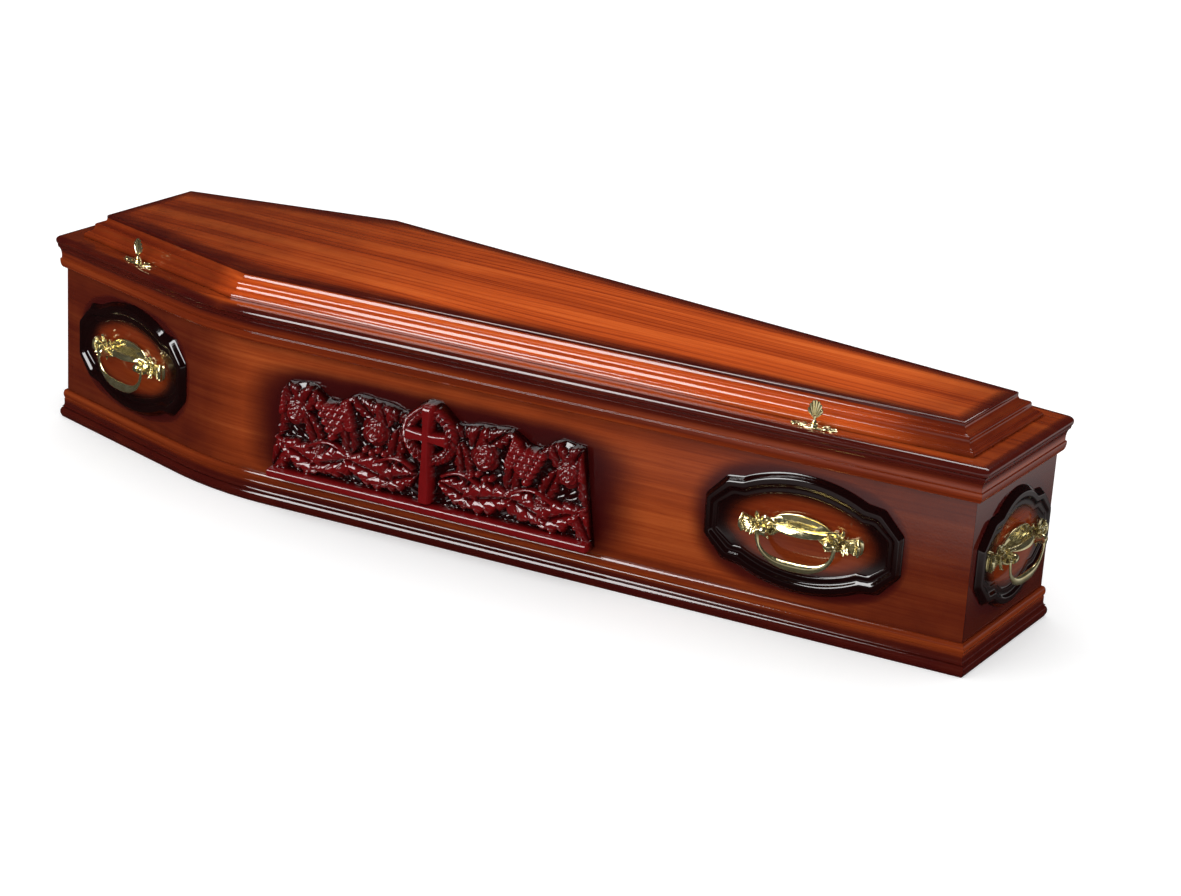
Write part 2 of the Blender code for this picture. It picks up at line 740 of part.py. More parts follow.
def screw_plate_mesh():
    """A long leafy plate with a raised boss in the middle and a hole for the screw."""
    half_length = SCREW_PLATE_LENGTH / 2
    half_width = SCREW_PLATE_WIDTH / 2
    quarter = [(1.0, 0.30), (0.84, 0.72), (0.60, 0.50), (0.36, 0.88), (0.16, 1.0)]
    upper = [(half_length * x, half_width * y) for x, y in quarter]
    upper += [(-x, y) for x, y in reversed(upper)]
    outline = upper + [(-x, -y) for x, y in upper]
    steps = [(1.0, 0.0), (1.0, 0.4), (0.86, 1.0)]
    rings = [[(x * size, y * size, SCREW_PLATE_THICKNESS * rise) for x, y in outline] for size, rise in steps]
    body = bpy.data.objects.new("screw_plate_body", rings_mesh("screw_plate_body", rings))
    bpy.context.scene.collection.objects.link(body)
    boss = []
    for radius, height in ((0.36, 0.26), (0.34, 0.74), (0.24, 1.0)):
        circle = arc((0, 0), SCREW_PLATE_WIDTH * radius, SCREW_PLATE_WIDTH * radius, 0, 315, 7)
        boss.append([(x, y, SCREW_BOSS_HEIGHT * height) for x, y in circle])
    boss = make_cutter("screw_boss", rings_mesh("screw_boss", boss), Matrix())
    radius = SCREW_SHANK_RADIUS + SCREW_CLEARANCE
    reach = SCREW_PLATE_THICKNESS * 3
    hole = make_cutter("screw_plate_hole", rod_mesh("screw_plate_hole", radius, -reach, reach, 8), Matrix())
    add_boolean(body, boss, "UNION")
    add_boolean(body, hole, "DIFFERENCE")
    mesh = evaluated_mesh(body, "lid_screw_plate")
    for helper in (boss, hole, body):
        bpy.data.objects.remove(helper, do_unlink=True)
    mesh.shade_smooth()
    mesh.set_sharp_from_angle(angle=math.radians(35))
    return mesh


def screw_mesh():
    """A thumb screw: a ribbed palmette on a round neck and a shank that goes down into the wall."""
    seat = SCREW_BOSS_HEIGHT + GAP
    half = SCREW_HEAD_WIDTH / 2
    thick = SCREW_HEAD_THICKNESS / 2
    rings = []
    for height in (seat - SCREW_LENGTH, seat):
        circle = arc((0, 0), SCREW_SHANK_RADIUS, SCREW_SHANK_RADIUS, 18, 342, 9)
        rings.append([(x, y, height) for x, y in circle])
    for share, width in [(0.04, 0.34), (0.22, 0.28), (0.55, 0.62), (0.82, 0.96), (1.0, 0.66)]:
        height = seat + SCREW_HEAD_HEIGHT * share
        front = []
        for rib in range(5):
            across = half * width * (1 - rib / 2)
            lift = thick * (1.0 if rib % 2 == 0 else 0.55)
            arch = SCREW_HEAD_HEIGHT * 0.10 * (1 - (rib / 2 - 1) ** 2) * (share > 0.9)
            front.append((across, lift, height + arch))
        rings.append(front + [(x, -y, z) for x, y, z in reversed(front)])
    return rings_mesh("lid_screw", rings, 35)


def make_lid_screws(brass, side_board, lid_board):
    """Two screws, each through its plate and the lid board into the top of the left side board."""
    plate = screw_plate_mesh()
    screw = screw_mesh()
    low = SCREW_BOSS_HEIGHT - SCREW_LENGTH - SCREW_CLEARANCE
    hole = rod_mesh("screw_hole", SCREW_SHANK_RADIUS + SCREW_CLEARANCE, low, SCREW_PLATE_THICKNESS, 8)
    for name, edge, along, _ in handle_spots():
        if not name.startswith("left"):
            continue
        place = screw_place(edge, along)
        add_object("lid_screw_plate_" + name, plate, brass, place)
        add_object("lid_screw_" + name, screw, brass, place)
        cutter = make_cutter("screw_hole_" + name, hole, place)
        add_boolean(lid_board, cutter, "DIFFERENCE")
        add_boolean(side_board, cutter, "DIFFERENCE")


def build():
    clear_scene()
    side_wood = make_material("lacquered_mahogany", (0.30, 0.065, 0.020), 0.12)
    lid_wood = make_material("lacquered_lid_mahogany", (0.45, 0.12, 0.030), 0.10)
    dark_wood = make_material("dark_lacquered_wood", (0.075, 0.010, 0.008), 0.10)
    brass = make_material("polished_brass", (0.78, 0.60, 0.28), 0.18, 1.0)
    boards = make_carcass(side_wood)
    make_body_mouldings(side_wood)
    lid_board = make_lid_board(lid_wood)
    make_lid_mouldings(lid_wood)
    make_lid_panel(lid_wood)
    make_handles(dark_wood, brass)
    make_reliefs(dark_wood)
    make_lid_screws(brass, boards["side_board_left"], lid_board)


build()
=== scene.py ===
# %% [markdown]
# # A shouldered wooden coffin under gloss lacquer
#
# The real thing is a box of red-brown veneered boards with mitred mouldings, a raised lid, carved
# panels and cast brass fittings. Nearly everything on it is either a *profile carried along a path*
# or a *relief pressed out of a flat*. So this lesson makes two tools, a sweep and a relief, and then
# uses them for one piece after another. The plain solids are loaded first and stay the yardstick.

# %% Load the frame
import math

import bmesh
import bpy
import numpy as np
from mathutils import Matrix, Vector


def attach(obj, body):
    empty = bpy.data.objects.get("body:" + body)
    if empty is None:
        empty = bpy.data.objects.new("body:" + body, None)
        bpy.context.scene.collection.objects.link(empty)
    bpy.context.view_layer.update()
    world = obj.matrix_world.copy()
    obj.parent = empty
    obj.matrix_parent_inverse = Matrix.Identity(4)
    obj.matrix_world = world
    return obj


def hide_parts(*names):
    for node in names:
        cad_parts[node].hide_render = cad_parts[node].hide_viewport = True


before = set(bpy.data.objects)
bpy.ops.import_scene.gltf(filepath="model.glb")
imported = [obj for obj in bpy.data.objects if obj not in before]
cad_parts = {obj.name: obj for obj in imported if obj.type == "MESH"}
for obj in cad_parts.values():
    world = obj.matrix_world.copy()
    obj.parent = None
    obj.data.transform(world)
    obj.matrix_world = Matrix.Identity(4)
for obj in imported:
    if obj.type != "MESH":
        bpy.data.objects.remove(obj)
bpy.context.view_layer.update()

# %% [markdown]
# ## The camera
#
# A long lens from the foot end of the left side, looking down by about twenty degrees. The camera is
# leaned a little, as the photographer held it, so that the coffin runs downhill across the picture.

# %% Camera
EYE = Vector((2.664, -4.198, 1.9195))
YAW, PITCH, ROLL = 0.54228, 0.34610, 0.06223
LENS_MM = 88.03

sight = Vector((-math.sin(YAW) * math.cos(PITCH), math.cos(YAW) * math.cos(PITCH), -math.sin(PITCH)))
level = Vector((math.cos(YAW), math.sin(YAW), 0.0))
rise = level.cross(sight)
camera_right = level * math.cos(ROLL) + rise * math.sin(ROLL)
camera_up = rise * math.cos(ROLL) - level * math.sin(ROLL)

camera = bpy.data.objects.new("camera", bpy.data.cameras.new("camera"))
camera.data.lens = LENS_MM
camera.data.sensor_width = 36.0
turn = Matrix((camera_right, camera_up, -sight)).transposed().to_4x4()
camera.matrix_world = Matrix.Translation(EYE) @ turn
bpy.context.scene.collection.objects.link(camera)
bpy.context.scene.camera = camera
print("camera at", tuple(round(c, 3) for c in EYE))

# %% [markdown]
# ## The plan
#
# Seen from above the coffin is a hexagon: narrow head, wide shoulders, long taper to the foot. Every
# board and moulding follows this one line at some offset, so the line and its offsets come first.
# The box boards bend round the shoulders, while the mouldings on the lid meet there in a mitre.

# %% Plan values
BODY_LENGTH, HEAD_WIDTH, SHOULDER_WIDTH, FOOT_WIDTH = 1.920, 0.340, 0.590, 0.318
SHOULDER_FROM_HEAD, BEND_RADIUS = 0.478, 0.650
BODY_HEIGHT, WALL, GAP = 0.350, 0.018, 0.0003

half_plan = [
    (-BODY_LENGTH / 2, -HEAD_WIDTH / 2),
    (-BODY_LENGTH / 2 + SHOULDER_FROM_HEAD, -SHOULDER_WIDTH / 2),
    (BODY_LENGTH / 2, -FOOT_WIDTH / 2),
]
CORNERS = [np.array(p) for p in half_plan + [(x, -y) for x, y in reversed(half_plan)]]
SHOULDERS = (1, 4)


def along(edge):
    step = CORNERS[(edge + 1) % 6] - CORNERS[edge % 6]
    return step / np.linalg.norm(step)


def outward(edge):
    side = along(edge)
    return np.array([side[1], -side[0]])


def run_length(edge):
    return float(np.linalg.norm(CORNERS[(edge + 1) % 6] - CORNERS[edge % 6]))


def mitre(corner):
    """How far a corner moves for each metre that its two edges move out."""
    before, after = outward(corner - 1), outward(corner)
    return (before + after) / (1 + before @ after)


print("side runs:", [round(run_length(edge), 3) for edge in range(3)])

# %% [markdown]
# ## Stations
#
# A station is one place along a run where a profile is set up: a point on the wall line, the way
# outwards, and how far along the grain it lies. Where two pieces meet, the station lies in the mitre
# plane, a hair back from it, so that the joint shows as the fine dark line it is on the real thing.

# %% Stations
def mitre_station(corner, edge, sign, travelled):
    bisector = outward(corner - 1) + outward(corner)
    bisector /= np.linalg.norm(bisector)
    side = along(edge)
    slant = abs(side[0] * bisector[1] - side[1] * bisector[0])
    return CORNERS[corner % 6] + side * sign * GAP / 2 / slant, mitre(corner), travelled


def bend(corner, travelled, steps=16):
    """Stations round a bent shoulder, and the distance travelled after it."""
    centre = CORNERS[corner] - mitre(corner) * BEND_RADIUS
    first, last = outward(corner - 1), outward(corner)
    start = math.atan2(first[1], first[0])
    sweep_angle = math.acos(first @ last)
    tangent = BEND_RADIUS * math.tan(sweep_angle / 2)
    stations = []
    for step in range(steps + 1):
        angle = start + sweep_angle * step / steps
        facing = np.array([math.cos(angle), math.sin(angle)])
        s = travelled - tangent + BEND_RADIUS * sweep_angle * step / steps
        stations.append((centre + facing * BEND_RADIUS, facing, s))
    return stations, travelled + BEND_RADIUS * sweep_angle - 2 * tangent


def run(first, last):
    """Stations from corner to corner, bent at a shoulder that lies between."""
    stations = [mitre_station(first, first, 1, 0.0)]
    travelled = run_length(first)
    if last - first == 2:
        bent, travelled = bend(first + 1, travelled)
        stations += bent
        travelled += run_length(first + 1)
    stations.append(mitre_station(last, last - 1, -1, travelled))
    return stations


print("stations along a bent side:", len(run(0, 2)))

# %% [markdown]
# ## Profiles
#
# A moulding is drawn as a cabinet maker draws it: a list of (out, up) points with quarter rounds and
# hollows between the flats. On lacquered wood no arris is knife sharp, so every hard corner is eased
# by half a millimetre. That tiny round is what catches the light as a thin line.

# %% Profile helpers
def arc(centre, radius_out, radius_up, start, end, steps):
    angles = np.radians(np.linspace(start, end, steps + 1))
    return [(centre[0] + radius_out * math.cos(a), centre[1] + radius_up * math.sin(a)) for a in angles]


def ease(profile, radius=0.0006, sharper_than=35):
    """Round each corner of a closed profile that turns by more than the given angle."""
    eased = []
    points = [np.array(p) for p in profile]
    for before, here, after in zip([points[-1]] + points, points, points[1:] + points[:1]):
        one, two = here - before, after - here
        a, b = np.linalg.norm(one), np.linalg.norm(two)
        turn_angle = math.degrees(math.acos(np.clip(one @ two / (a * b), -1, 1)))
        if turn_angle < sharper_than:
            eased.append(tuple(here))
            continue
        cut = min(radius, a * 0.4, b * 0.4)
        start, end = here - one / a * cut, here + two / b * cut
        for t in (0.0, 0.33, 0.67, 1.0):
            eased.append(tuple((1 - t) ** 2 * start + 2 * t * (1 - t) * here + t * t * end))
    return eased


print("an eased square has", len(ease([(0, 0), (1, 0), (1, 1), (0, 1)])), "points")

# %% [markdown]
# ## The sweep
#
# One function carries a closed profile along stations and caps the ends. It also writes a UV map in
# metres: U along the grain, V round the profile. The wood figure follows U and V, so the grain runs
# along each length and turns at each mitre, exactly as it does when a joiner cuts the pieces.

# %% Sweep
def new_piece(name, mesh, material, body="coffin", stands_for=()):
    """Link a finished mesh, let it ride on its body and hide the solids it stands for."""
    piece = bpy.data.objects.new(name, mesh)
    bpy.context.scene.collection.objects.link(piece)
    mesh.materials.clear()
    mesh.materials.append(material)
    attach(piece, body)
    if stands_for:
        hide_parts(*stands_for)
    return piece


def mesh_from(name, points, faces, uvs=None, smooth_angle=30):
    mesh = bpy.data.meshes.new(name)
    mesh.from_pydata([tuple(map(float, p)) for p in points], [], faces)
    if uvs is not None:
        layer = mesh.uv_layers.new(name="grain")
        layer.data.foreach_set("uv", np.array(uvs, np.float32).ravel())
    mesh.validate()
    mesh.shade_smooth()
    mesh.set_sharp_from_angle(angle=math.radians(smooth_angle))
    return mesh


def sweep_mesh(name, profile, stations, start_u=0.0):
    count = len(profile)
    lengths = [math.dist(a, b) for a, b in zip(profile, profile[1:] + profile[:1])]
    rounds = np.concatenate([[0], np.cumsum(lengths)])
    points, faces, uvs = [], [], []
    for place, facing, _ in stations:
        for out, up in profile:
            points.append((*(place + facing * out), up))
    for s in range(len(stations) - 1):
        u0, u1 = start_u + stations[s][2], start_u + stations[s + 1][2]
        for p in range(count):
            q = (p + 1) % count
            faces.append((s * count + p, s * count + q, (s + 1) * count + q, (s + 1) * count + p))
            uvs += [(u0, rounds[p]), (u0, rounds[p + 1]), (u1, rounds[p + 1]), (u1, rounds[p])]
    last = (len(stations) - 1) * count
    for ring in (range(count - 1, -1, -1), range(last, last + count)):
        faces.append(tuple(ring))
        uvs += [profile[i % count] for i in ring]
    return outward_mesh(mesh_from(name, points, faces, uvs))


def outward_mesh(mesh):
    """Turn a closed mesh's faces outwards, whichever way its profile was drawn."""
    bm = bmesh.new()
    bm.from_mesh(mesh)
    bmesh.ops.recalc_face_normals(bm, faces=bm.faces)
    bm.to_mesh(mesh)
    bm.free()
    return mesh


print("sweep ready")

# %% [markdown]
# ## Shader maths
#
# A finish is easier to read as an expression than as forty loose nodes. `Value` wraps one socket and
# overloads the operators, and `Finish.node` makes any other node from its type, settings and inputs.

# %% Shader helpers
class Value:
    """One output socket that can be used in Python arithmetic."""

    def __init__(self, finish, socket):
        self.finish, self.socket = finish, socket

    def math(self, operation, *values):
        return self.finish.node("ShaderNodeMath", {"operation": operation}, dict(enumerate(values)))

    def __add__(self, other):
        return self.math("ADD", self, other)

    def __sub__(self, other):
        return self.math("SUBTRACT", self, other)

    def __rsub__(self, other):
        return self.math("SUBTRACT", other, self)

    def __mul__(self, other):
        return self.math("MULTIPLY", self, other)

    def __truediv__(self, other):
        return self.math("DIVIDE", self, other)

    def __pow__(self, other):
        return self.math("POWER", self, other)

    def most(self, other):
        return self.math("MAXIMUM", self, other)

    def size(self):
        return self.math("ABSOLUTE", self)

    __radd__, __rmul__ = __add__, __mul__


class Finish:
    """A material with its Principled shader, built node by node."""

    def __init__(self, name, roughness, metallic=0.0, specular=0.5, viewport=(0.3, 0.1, 0.05)):
        self.material = bpy.data.materials.new(name)
        self.material.use_nodes = True
        self.material.diffuse_color = (*viewport, 1.0)
        self.tree = self.material.node_tree
        self.shader = self.tree.nodes["Principled BSDF"]
        self.shader.inputs["Roughness"].default_value = roughness
        self.shader.inputs["Metallic"].default_value = metallic
        self.shader.inputs["Specular IOR Level"].default_value = specular

    def node(self, kind, settings=(), inputs=(), output=0):
        made = self.tree.nodes.new(kind)
        for key, value in dict(settings).items():
            if key == "stops":
                for stop in range(len(value) - len(made.color_ramp.elements)):
                    made.color_ramp.elements.new(0.5)
                for element, (place, colour) in zip(made.color_ramp.elements, value):
                    element.position, element.color = place, (*colour, 1.0)
            else:
                setattr(made, key, value)
        for key, value in dict(inputs).items():
            if isinstance(value, Value):
                self.tree.links.new(value.socket, made.inputs[key])
            else:
                made.inputs[key].default_value = value
        return Value(self, made.outputs[output])

    def feed(self, name, value):
        self.tree.links.new(value.socket, self.shader.inputs[name])

    def place(self):
        """The object's own coordinates, in metres."""
        return self.node("ShaderNodeTexCoord", output="Object")

    def grain(self):
        """U along the grain and V across it, in metres."""
        return self.node("ShaderNodeUVMap", {"uv_map": "grain"})

    def stretched(self, vector, scale, shift=(0.0, 0.0, 0.0)):
        return self.node("ShaderNodeMapping", {}, {"Vector": vector, "Scale": scale, "Location": shift})

    def noise(self, vector, scale=1.0, detail=2.0, roughness=0.5, distortion=0.0):
        inputs = {"Vector": vector, "Scale": scale, "Detail": detail, "Roughness": roughness,
                  "Distortion": distortion}
        return self.node("ShaderNodeTexNoise", {}, inputs)

    def smooth(self, value, low, high, start=0.0, end=1.0):
        """A soft step of a value from one number to another."""
        inputs = {"Value": value, "From Min": low, "From Max": high, "To Min": start, "To Max": end}
        return self.node("ShaderNodeMapRange", {"interpolation_type": "SMOOTHSTEP"}, inputs)

    def blend(self, factor, first, second):
        inputs = {"Factor": factor, "A": first if isinstance(first, Value) else (*first, 1.0),
                  "B": second if isinstance(second, Value) else (*second, 1.0)}
        mixed = self.tree.nodes.new("ShaderNodeMix")
        mixed.data_type = "RGBA"
        sockets = {"Factor": mixed.inputs[0], "A": mixed.inputs[6], "B": mixed.inputs[7]}
        for key, value in inputs.items():
            if isinstance(value, Value):
                self.tree.links.new(value.socket, sockets[key])
            else:
                sockets[key].default_value = value
        return Value(self, mixed.outputs[2])

    def bump(self, height, distance, strength=1.0):
        inputs = {"Height": height, "Distance": distance, "Strength": strength}
        self.feed("Normal", self.node("ShaderNodeBump", {}, inputs))

    def dot(self, vector, direction):
        inputs = {0: vector, 1: direction}
        return self.node("ShaderNodeVectorMath", {"operation": "DOT_PRODUCT"}, inputs, "Value")


print("shader helpers ready")

# %% [markdown]
# ## Lacquered wood
#
# The real finish is veneer under red-brown stain, shaded darker towards edges and fittings with a
# spray of toner, then polished lacquer. The figure is noise that is stretched a hundred times longer
# along the grain than across it: broad ribbons, narrow streaks and short dark pores. The toner is a
# mask from the distance to the nearest edge, and it pulls the colour to a near-black burgundy. On the
# upper moulding and the lid mouldings the same mask also carries painted shade.

# %% Wood finish
def plan_offset(finish, place):
    """How far a point lies outside the wall line, from the six edges: negative inside."""
    most = None
    for edge in range(6):
        facing = outward(edge)
        reach = finish.dot(place, (*map(float, facing), 0.0)) - float(facing @ CORNERS[edge])
        most = reach if most is None else most.most(reach)
    return most


def wood(name, dark, middle, light, toner_colour, toner=None, ribbon=0.3, ribbon_scale=22.0, rings=0.0,
         specular=0.5, roughness=0.07, peel=0.00006):
    finish = Finish(name, roughness, specular=specular, viewport=middle)
    grain = finish.grain()
    sway = finish.noise(finish.stretched(grain, (1.3, 5.0, 1.0)), detail=1.0)
    ribbons = finish.noise(finish.stretched(grain, (0.9, ribbon_scale, 1.0)), detail=2.0, distortion=0.4)
    streaks = finish.noise(finish.stretched(grain, (2.6, 150.0, 1.0), (3.1, 0.7, 0.0)), detail=4.0,
                           roughness=0.6)
    pores = finish.noise(finish.stretched(grain, (26.0, 1100.0, 1.0), (0.3, 5.2, 0.0)), detail=1.0)
    figure = finish.smooth(ribbons, 0.25, 0.75) * ribbon + streaks * 0.55 + 0.225 - ribbon / 2
    ramp = finish.node("ShaderNodeValToRGB", {"stops": [(0.20, dark), (0.50, middle), (0.80, light)]},
                       {"Fac": figure})
    pore_mask = finish.smooth(pores, 0.60, 0.72, 0.0, 0.26)
    colour = finish.blend(pore_mask, ramp, tuple(c * 0.35 for c in dark))
    if rings > 0:
        across = finish.dot(grain, (0.0, 330.0, 0.0)) + sway * 26.0
        wave = across.math("SINE", across)
        ring_mask = finish.smooth(wave, 0.35, 1.0, 0.0, rings) * finish.smooth(ribbons, 0.62, 0.42)
        colour = finish.blend(ring_mask, colour, dark)
    # The mask pulls the colour towards the toner colour; for the upper moulding and the lid mouldings it also
    # holds painted shade.
    if toner is not None:
        mask = toner(finish, finish.place())
        mottle = finish.noise(finish.place(), scale=16.0, detail=3.0)
        mask = finish.smooth(mask + mottle * 0.22 - 0.11, 0.0, 1.0)
        colour = finish.blend(mask, colour, toner_colour)
    finish.feed("Base Color", colour)
    ripple = finish.noise(finish.place(), scale=260.0, detail=1.0)
    finish.bump(ripple - pore_mask * 0.3, peel)
    return finish.material


# Toner colour, also the colour of the painted shade on the upper moulding and the lid mouldings.
TONER = (0.044, 0.0034, 0.0034)
print("toner", TONER)

# %% [markdown]
# ## Where the fittings sit
#
# The plaques, the carved panels and the toner round them all need the same spots on the walls, so
# these are worked out once: the edge, the distance along it and the size of each plaque.

# %% Spots on the walls
PLAQUE_HEIGHT, PLAQUE_BORDER, PLAQUE_CENTRE = 0.210, 0.026, 0.180
PLAQUE_FIELD, PLAQUE_RIM = 0.005, 0.0115
SHOULDER_SPOT, SIDE_SPOT = 0.222, run_length(1) - 0.294
PLAQUES = {
    "left_head": (0, SHOULDER_SPOT, 0.340),
    "left_foot": (1, SIDE_SPOT, 0.356),
    "foot": (2, FOOT_WIDTH / 2, 0.276),
    "right_foot": (3, run_length(3) - SIDE_SPOT, 0.356),
    "right_head": (4, run_length(4) - SHOULDER_SPOT, 0.340),
    "head": (5, HEAD_WIDTH / 2, 0.276),
}
RELIEF_LENGTH, RELIEF_HEIGHT, RELIEF_DEPTH, RELIEF_BOTTOM = 0.646, 0.206, 0.040, 0.068
RELIEFS = {"left": (1, 0.452), "right": (3, run_length(3) - 0.452)}


def frame_from(columns):
    """A placing matrix from its X, Y and Z directions and its spot."""
    return Matrix([[float(column[row]) for column in columns] for row in range(3)] + [[0, 0, 0, 1]])


def wall_frame(edge, distance, height, out=0.0):
    """X along the wall, Y up and Z out of it."""
    side, facing = along(edge), outward(edge)
    spot = CORNERS[edge] + side * distance + facing * out
    return frame_from(((*side, 0), (0, 0, 1), (*facing, 0), (*spot, height)))


for name, (edge, distance, width) in PLAQUES.items():
    print(name, [round(c, 3) for c in wall_frame(edge, distance, PLAQUE_CENTRE).translation])

# %% [markdown]
# ## Toner masks
#
# On the walls the toner is heaviest in a soft oval round each plaque, round the carved panel and
# along the mouldings. On the lid it darkens the margin, the arrises and the mitres. Each mask below
# is a number that rises from 0 to 1 towards the dark places.

# %% Toner masks
def halo(finish, place, edge, distance, height, half_width, half_height, reach, power=2.0):
    """1 inside a rounded outline on a wall, fading to 0 over the given reach in metres."""
    side, facing = along(edge), outward(edge)
    centre = CORNERS[edge] + side * distance
    across = (finish.dot(place, (*map(float, side), 0.0)) - float(side @ centre)).size() / half_width
    upward = (finish.dot(place, (0.0, 0.0, 1.0)) - height).size() / half_height
    outline = (across ** power + upward ** power) ** (1.0 / power)
    near = finish.dot(place, (*map(float, facing), 0.0)) - float(facing @ centre)
    oval = finish.smooth(outline, 1.0 + reach / half_height, 0.96, 0.0, 1.0)
    return oval * finish.smooth(near, -0.06, -0.02)


PLAQUE_SHADE_REACH, PLAQUE_SHADE_POWER, PLAQUE_SHADE = 0.028, 2.6, 0.90
RELIEF_SHADE = dict(height=0.160, half_width=0.318, half_height=0.098, reach=0.040, power=5.0)


def wall_toner(edges, relief=None):
    """Dark under the lid, above the plinth, towards both ends and round the fittings."""
    def toner(finish, place):
        height = finish.dot(place, (0.0, 0.0, 1.0))
        mask = finish.smooth(height, 0.262, 0.312, 0.0, 0.50)
        mask = mask.most(finish.smooth(height, 0.095, 0.056, 0.0, 0.40))
        lengthways = finish.dot(place, (1.0, 0.0, 0.0))
        mask = mask.most(finish.smooth(lengthways, 0.34, 0.90, 0.0, 0.66))
        mask = mask.most(finish.smooth(lengthways, -0.34, -0.58, 0.0, 0.68))
        for spot_edge, distance, width in PLAQUES.values():
            if spot_edge in edges:
                shade = halo(finish, place, spot_edge, distance, PLAQUE_CENTRE, width / 2,
                             PLAQUE_HEIGHT / 2, PLAQUE_SHADE_REACH, PLAQUE_SHADE_POWER)
                mask = mask.most(shade * PLAQUE_SHADE)
        if relief:
            mask = mask.most(halo(finish, place, *RELIEFS[relief], **RELIEF_SHADE))
        return mask
    return toner


def plain_toner(amount):
    def toner(finish, place):
        return finish.dot(place, (0.0, 0.0, 0.0)) + amount
    return toner


def lid_toner(finish, place):
    """Dark at the edge of the board, round the mouldings' foot and on the panel's arris."""
    reach = plan_offset(finish, place)
    edge = finish.smooth(reach, -0.012, 0.015, 0.0, 0.84)
    foot = finish.smooth(reach, -0.010, -0.025, 0.0, 0.52)
    lengthways = finish.dot(place, (1.0, 0.0, 0.0))
    head_end = finish.smooth(lengthways, -0.42, -0.62, 0.0, 0.66)
    foot_end = finish.smooth(lengthways, 0.84, 0.96, 0.0, 0.40)
    return edge.most(foot).most(head_end.most(foot_end))


def panel_toner(finish, place):
    """Dark along the panel's arris, and more so towards the head and the foot."""
    reach = plan_offset(finish, place)
    mask = finish.smooth(reach, -0.122, -0.062, 0.0, 0.86)
    for edge in (0, 4):
        side = outward(edge)
        inwards = finish.dot(place, (*map(float, side), 0.0)) - float(side @ CORNERS[edge])
        mask = mask.most(finish.smooth(inwards, -0.165, -0.075, 0.0, 0.80))
    lengthways = finish.dot(place, (1.0, 0.0, 0.0))
    mask = mask.most(finish.smooth(lengthways, 0.25, -0.75, 0.0, 0.60))
    return mask.most(finish.smooth(lengthways, 0.58, 0.92, 0.0, 0.50))


SIDE_COLOURS = (0.115, 0.0135, 0.0036), (0.29, 0.047, 0.0095), (0.46, 0.096, 0.021)
SIDE_PEEL = 0.00015
side_left = wood("side_mahogany_left", *SIDE_COLOURS, TONER, wall_toner((0, 1), "left"), 0.32,
                 peel=SIDE_PEEL)
side_right = wood("side_mahogany_right", *SIDE_COLOURS, TONER, wall_toner((3, 4), "right"), 0.32,
                  peel=SIDE_PEEL)
end_wood = wood("end_mahogany", (0.050, 0.0070, 0.0026), (0.105, 0.0180, 0.0055), (0.17, 0.036, 0.011),
                TONER, wall_toner((2, 5)), 0.22)
inside_wood = wood("inside_mahogany", (0.075, 0.0085, 0.0024), (0.175, 0.0280, 0.0058), (0.29, 0.058, 0.0125),
                   TONER, plain_toner(0.0), 0.22)
print("wall finishes ready")

# %% [markdown]
# ## The box
#
# Two long side boards bend round the shoulders and meet the end boards in mitres. The base lies
# between them. The profile is simply the wall's rectangle, with its corners eased.

# %% Box boards
wall_profile = ease([(0.0, 0.0), (0.0, BODY_HEIGHT), (-WALL, BODY_HEIGHT), (-WALL, 0.0)])
for name, ends, finish in (
    ("side_board_left", (0, 2), side_left), ("side_board_right", (3, 5), side_right),
    ("foot_board", (2, 3), end_wood), ("head_board", (5, 6), end_wood),
):
    mesh = sweep_mesh(name + "_fine", wall_profile, run(*ends))
    new_piece(name + "_fine", mesh, finish, stands_for=(name,))
    print(name, len(mesh.polygons), "faces")

# %% [markdown]
# ## Flat boards
#
# The base, the lid board and the raised panel are stacks of outlines: the same plan at one offset
# after another. The top face is one big polygon, whose grain simply follows X and Y.

# %% Stacks of outlines
def plan_outline(offset, end_radius=0.0, bent=True):
    points = []
    for corner in range(6):
        if corner in SHOULDERS and bent:
            points += [place + facing * offset for place, facing, _ in bend(corner, 0.0)[0]]
        elif corner not in SHOULDERS and end_radius > 0:
            centre = CORNERS[corner] + mitre(corner) * (offset - end_radius)
            first, last = outward(corner - 1), outward(corner)
            start, span = math.atan2(first[1], first[0]), math.acos(first @ last)
            for step in range(9):
                angle = start + span * step / 8
                points.append(centre + np.array([math.cos(angle), math.sin(angle)]) * end_radius)
        else:
            points.append(CORNERS[corner] + mitre(corner) * offset)
    return points


def stack_mesh(name, steps, outline, shift=(0.0, 0.0)):
    rings = [[(*point, height) for point in outline(offset)] for offset, height in steps]
    return rings_mesh(name, rings, lambda p: (p[0] + shift[0], p[1] + shift[1] + p[2]))


def rings_mesh(name, rings, grain=None, smooth_angle=30):
    """A closed skin through rings of points, with the grain read from each point's place."""
    count = len(rings[0])
    points = [p for ring in rings for p in ring]
    faces = []
    for r in range(len(rings) - 1):
        for p in range(count):
            q = (p + 1) % count
            faces.append((r * count + p, r * count + q, (r + 1) * count + q, (r + 1) * count + p))
    last = (len(rings) - 1) * count
    faces += [tuple(range(count - 1, -1, -1)), tuple(range(last, last + count))]
    uvs = [grain(points[i]) for face in faces for i in face] if grain else None
    return outward_mesh(mesh_from(name, points, faces, uvs, smooth_angle))


BASE_THICKNESS, LID_BOARD, LID_OVERHANG, LID_CORNER = 0.018, 0.016, 0.020, 0.014
inside = -(WALL + GAP)
base = stack_mesh("base_board_fine", [(inside, 0.0), (inside, BASE_THICKNESS)], plan_outline)
new_piece("base_board_fine", base, inside_wood, stands_for=("base_board",))

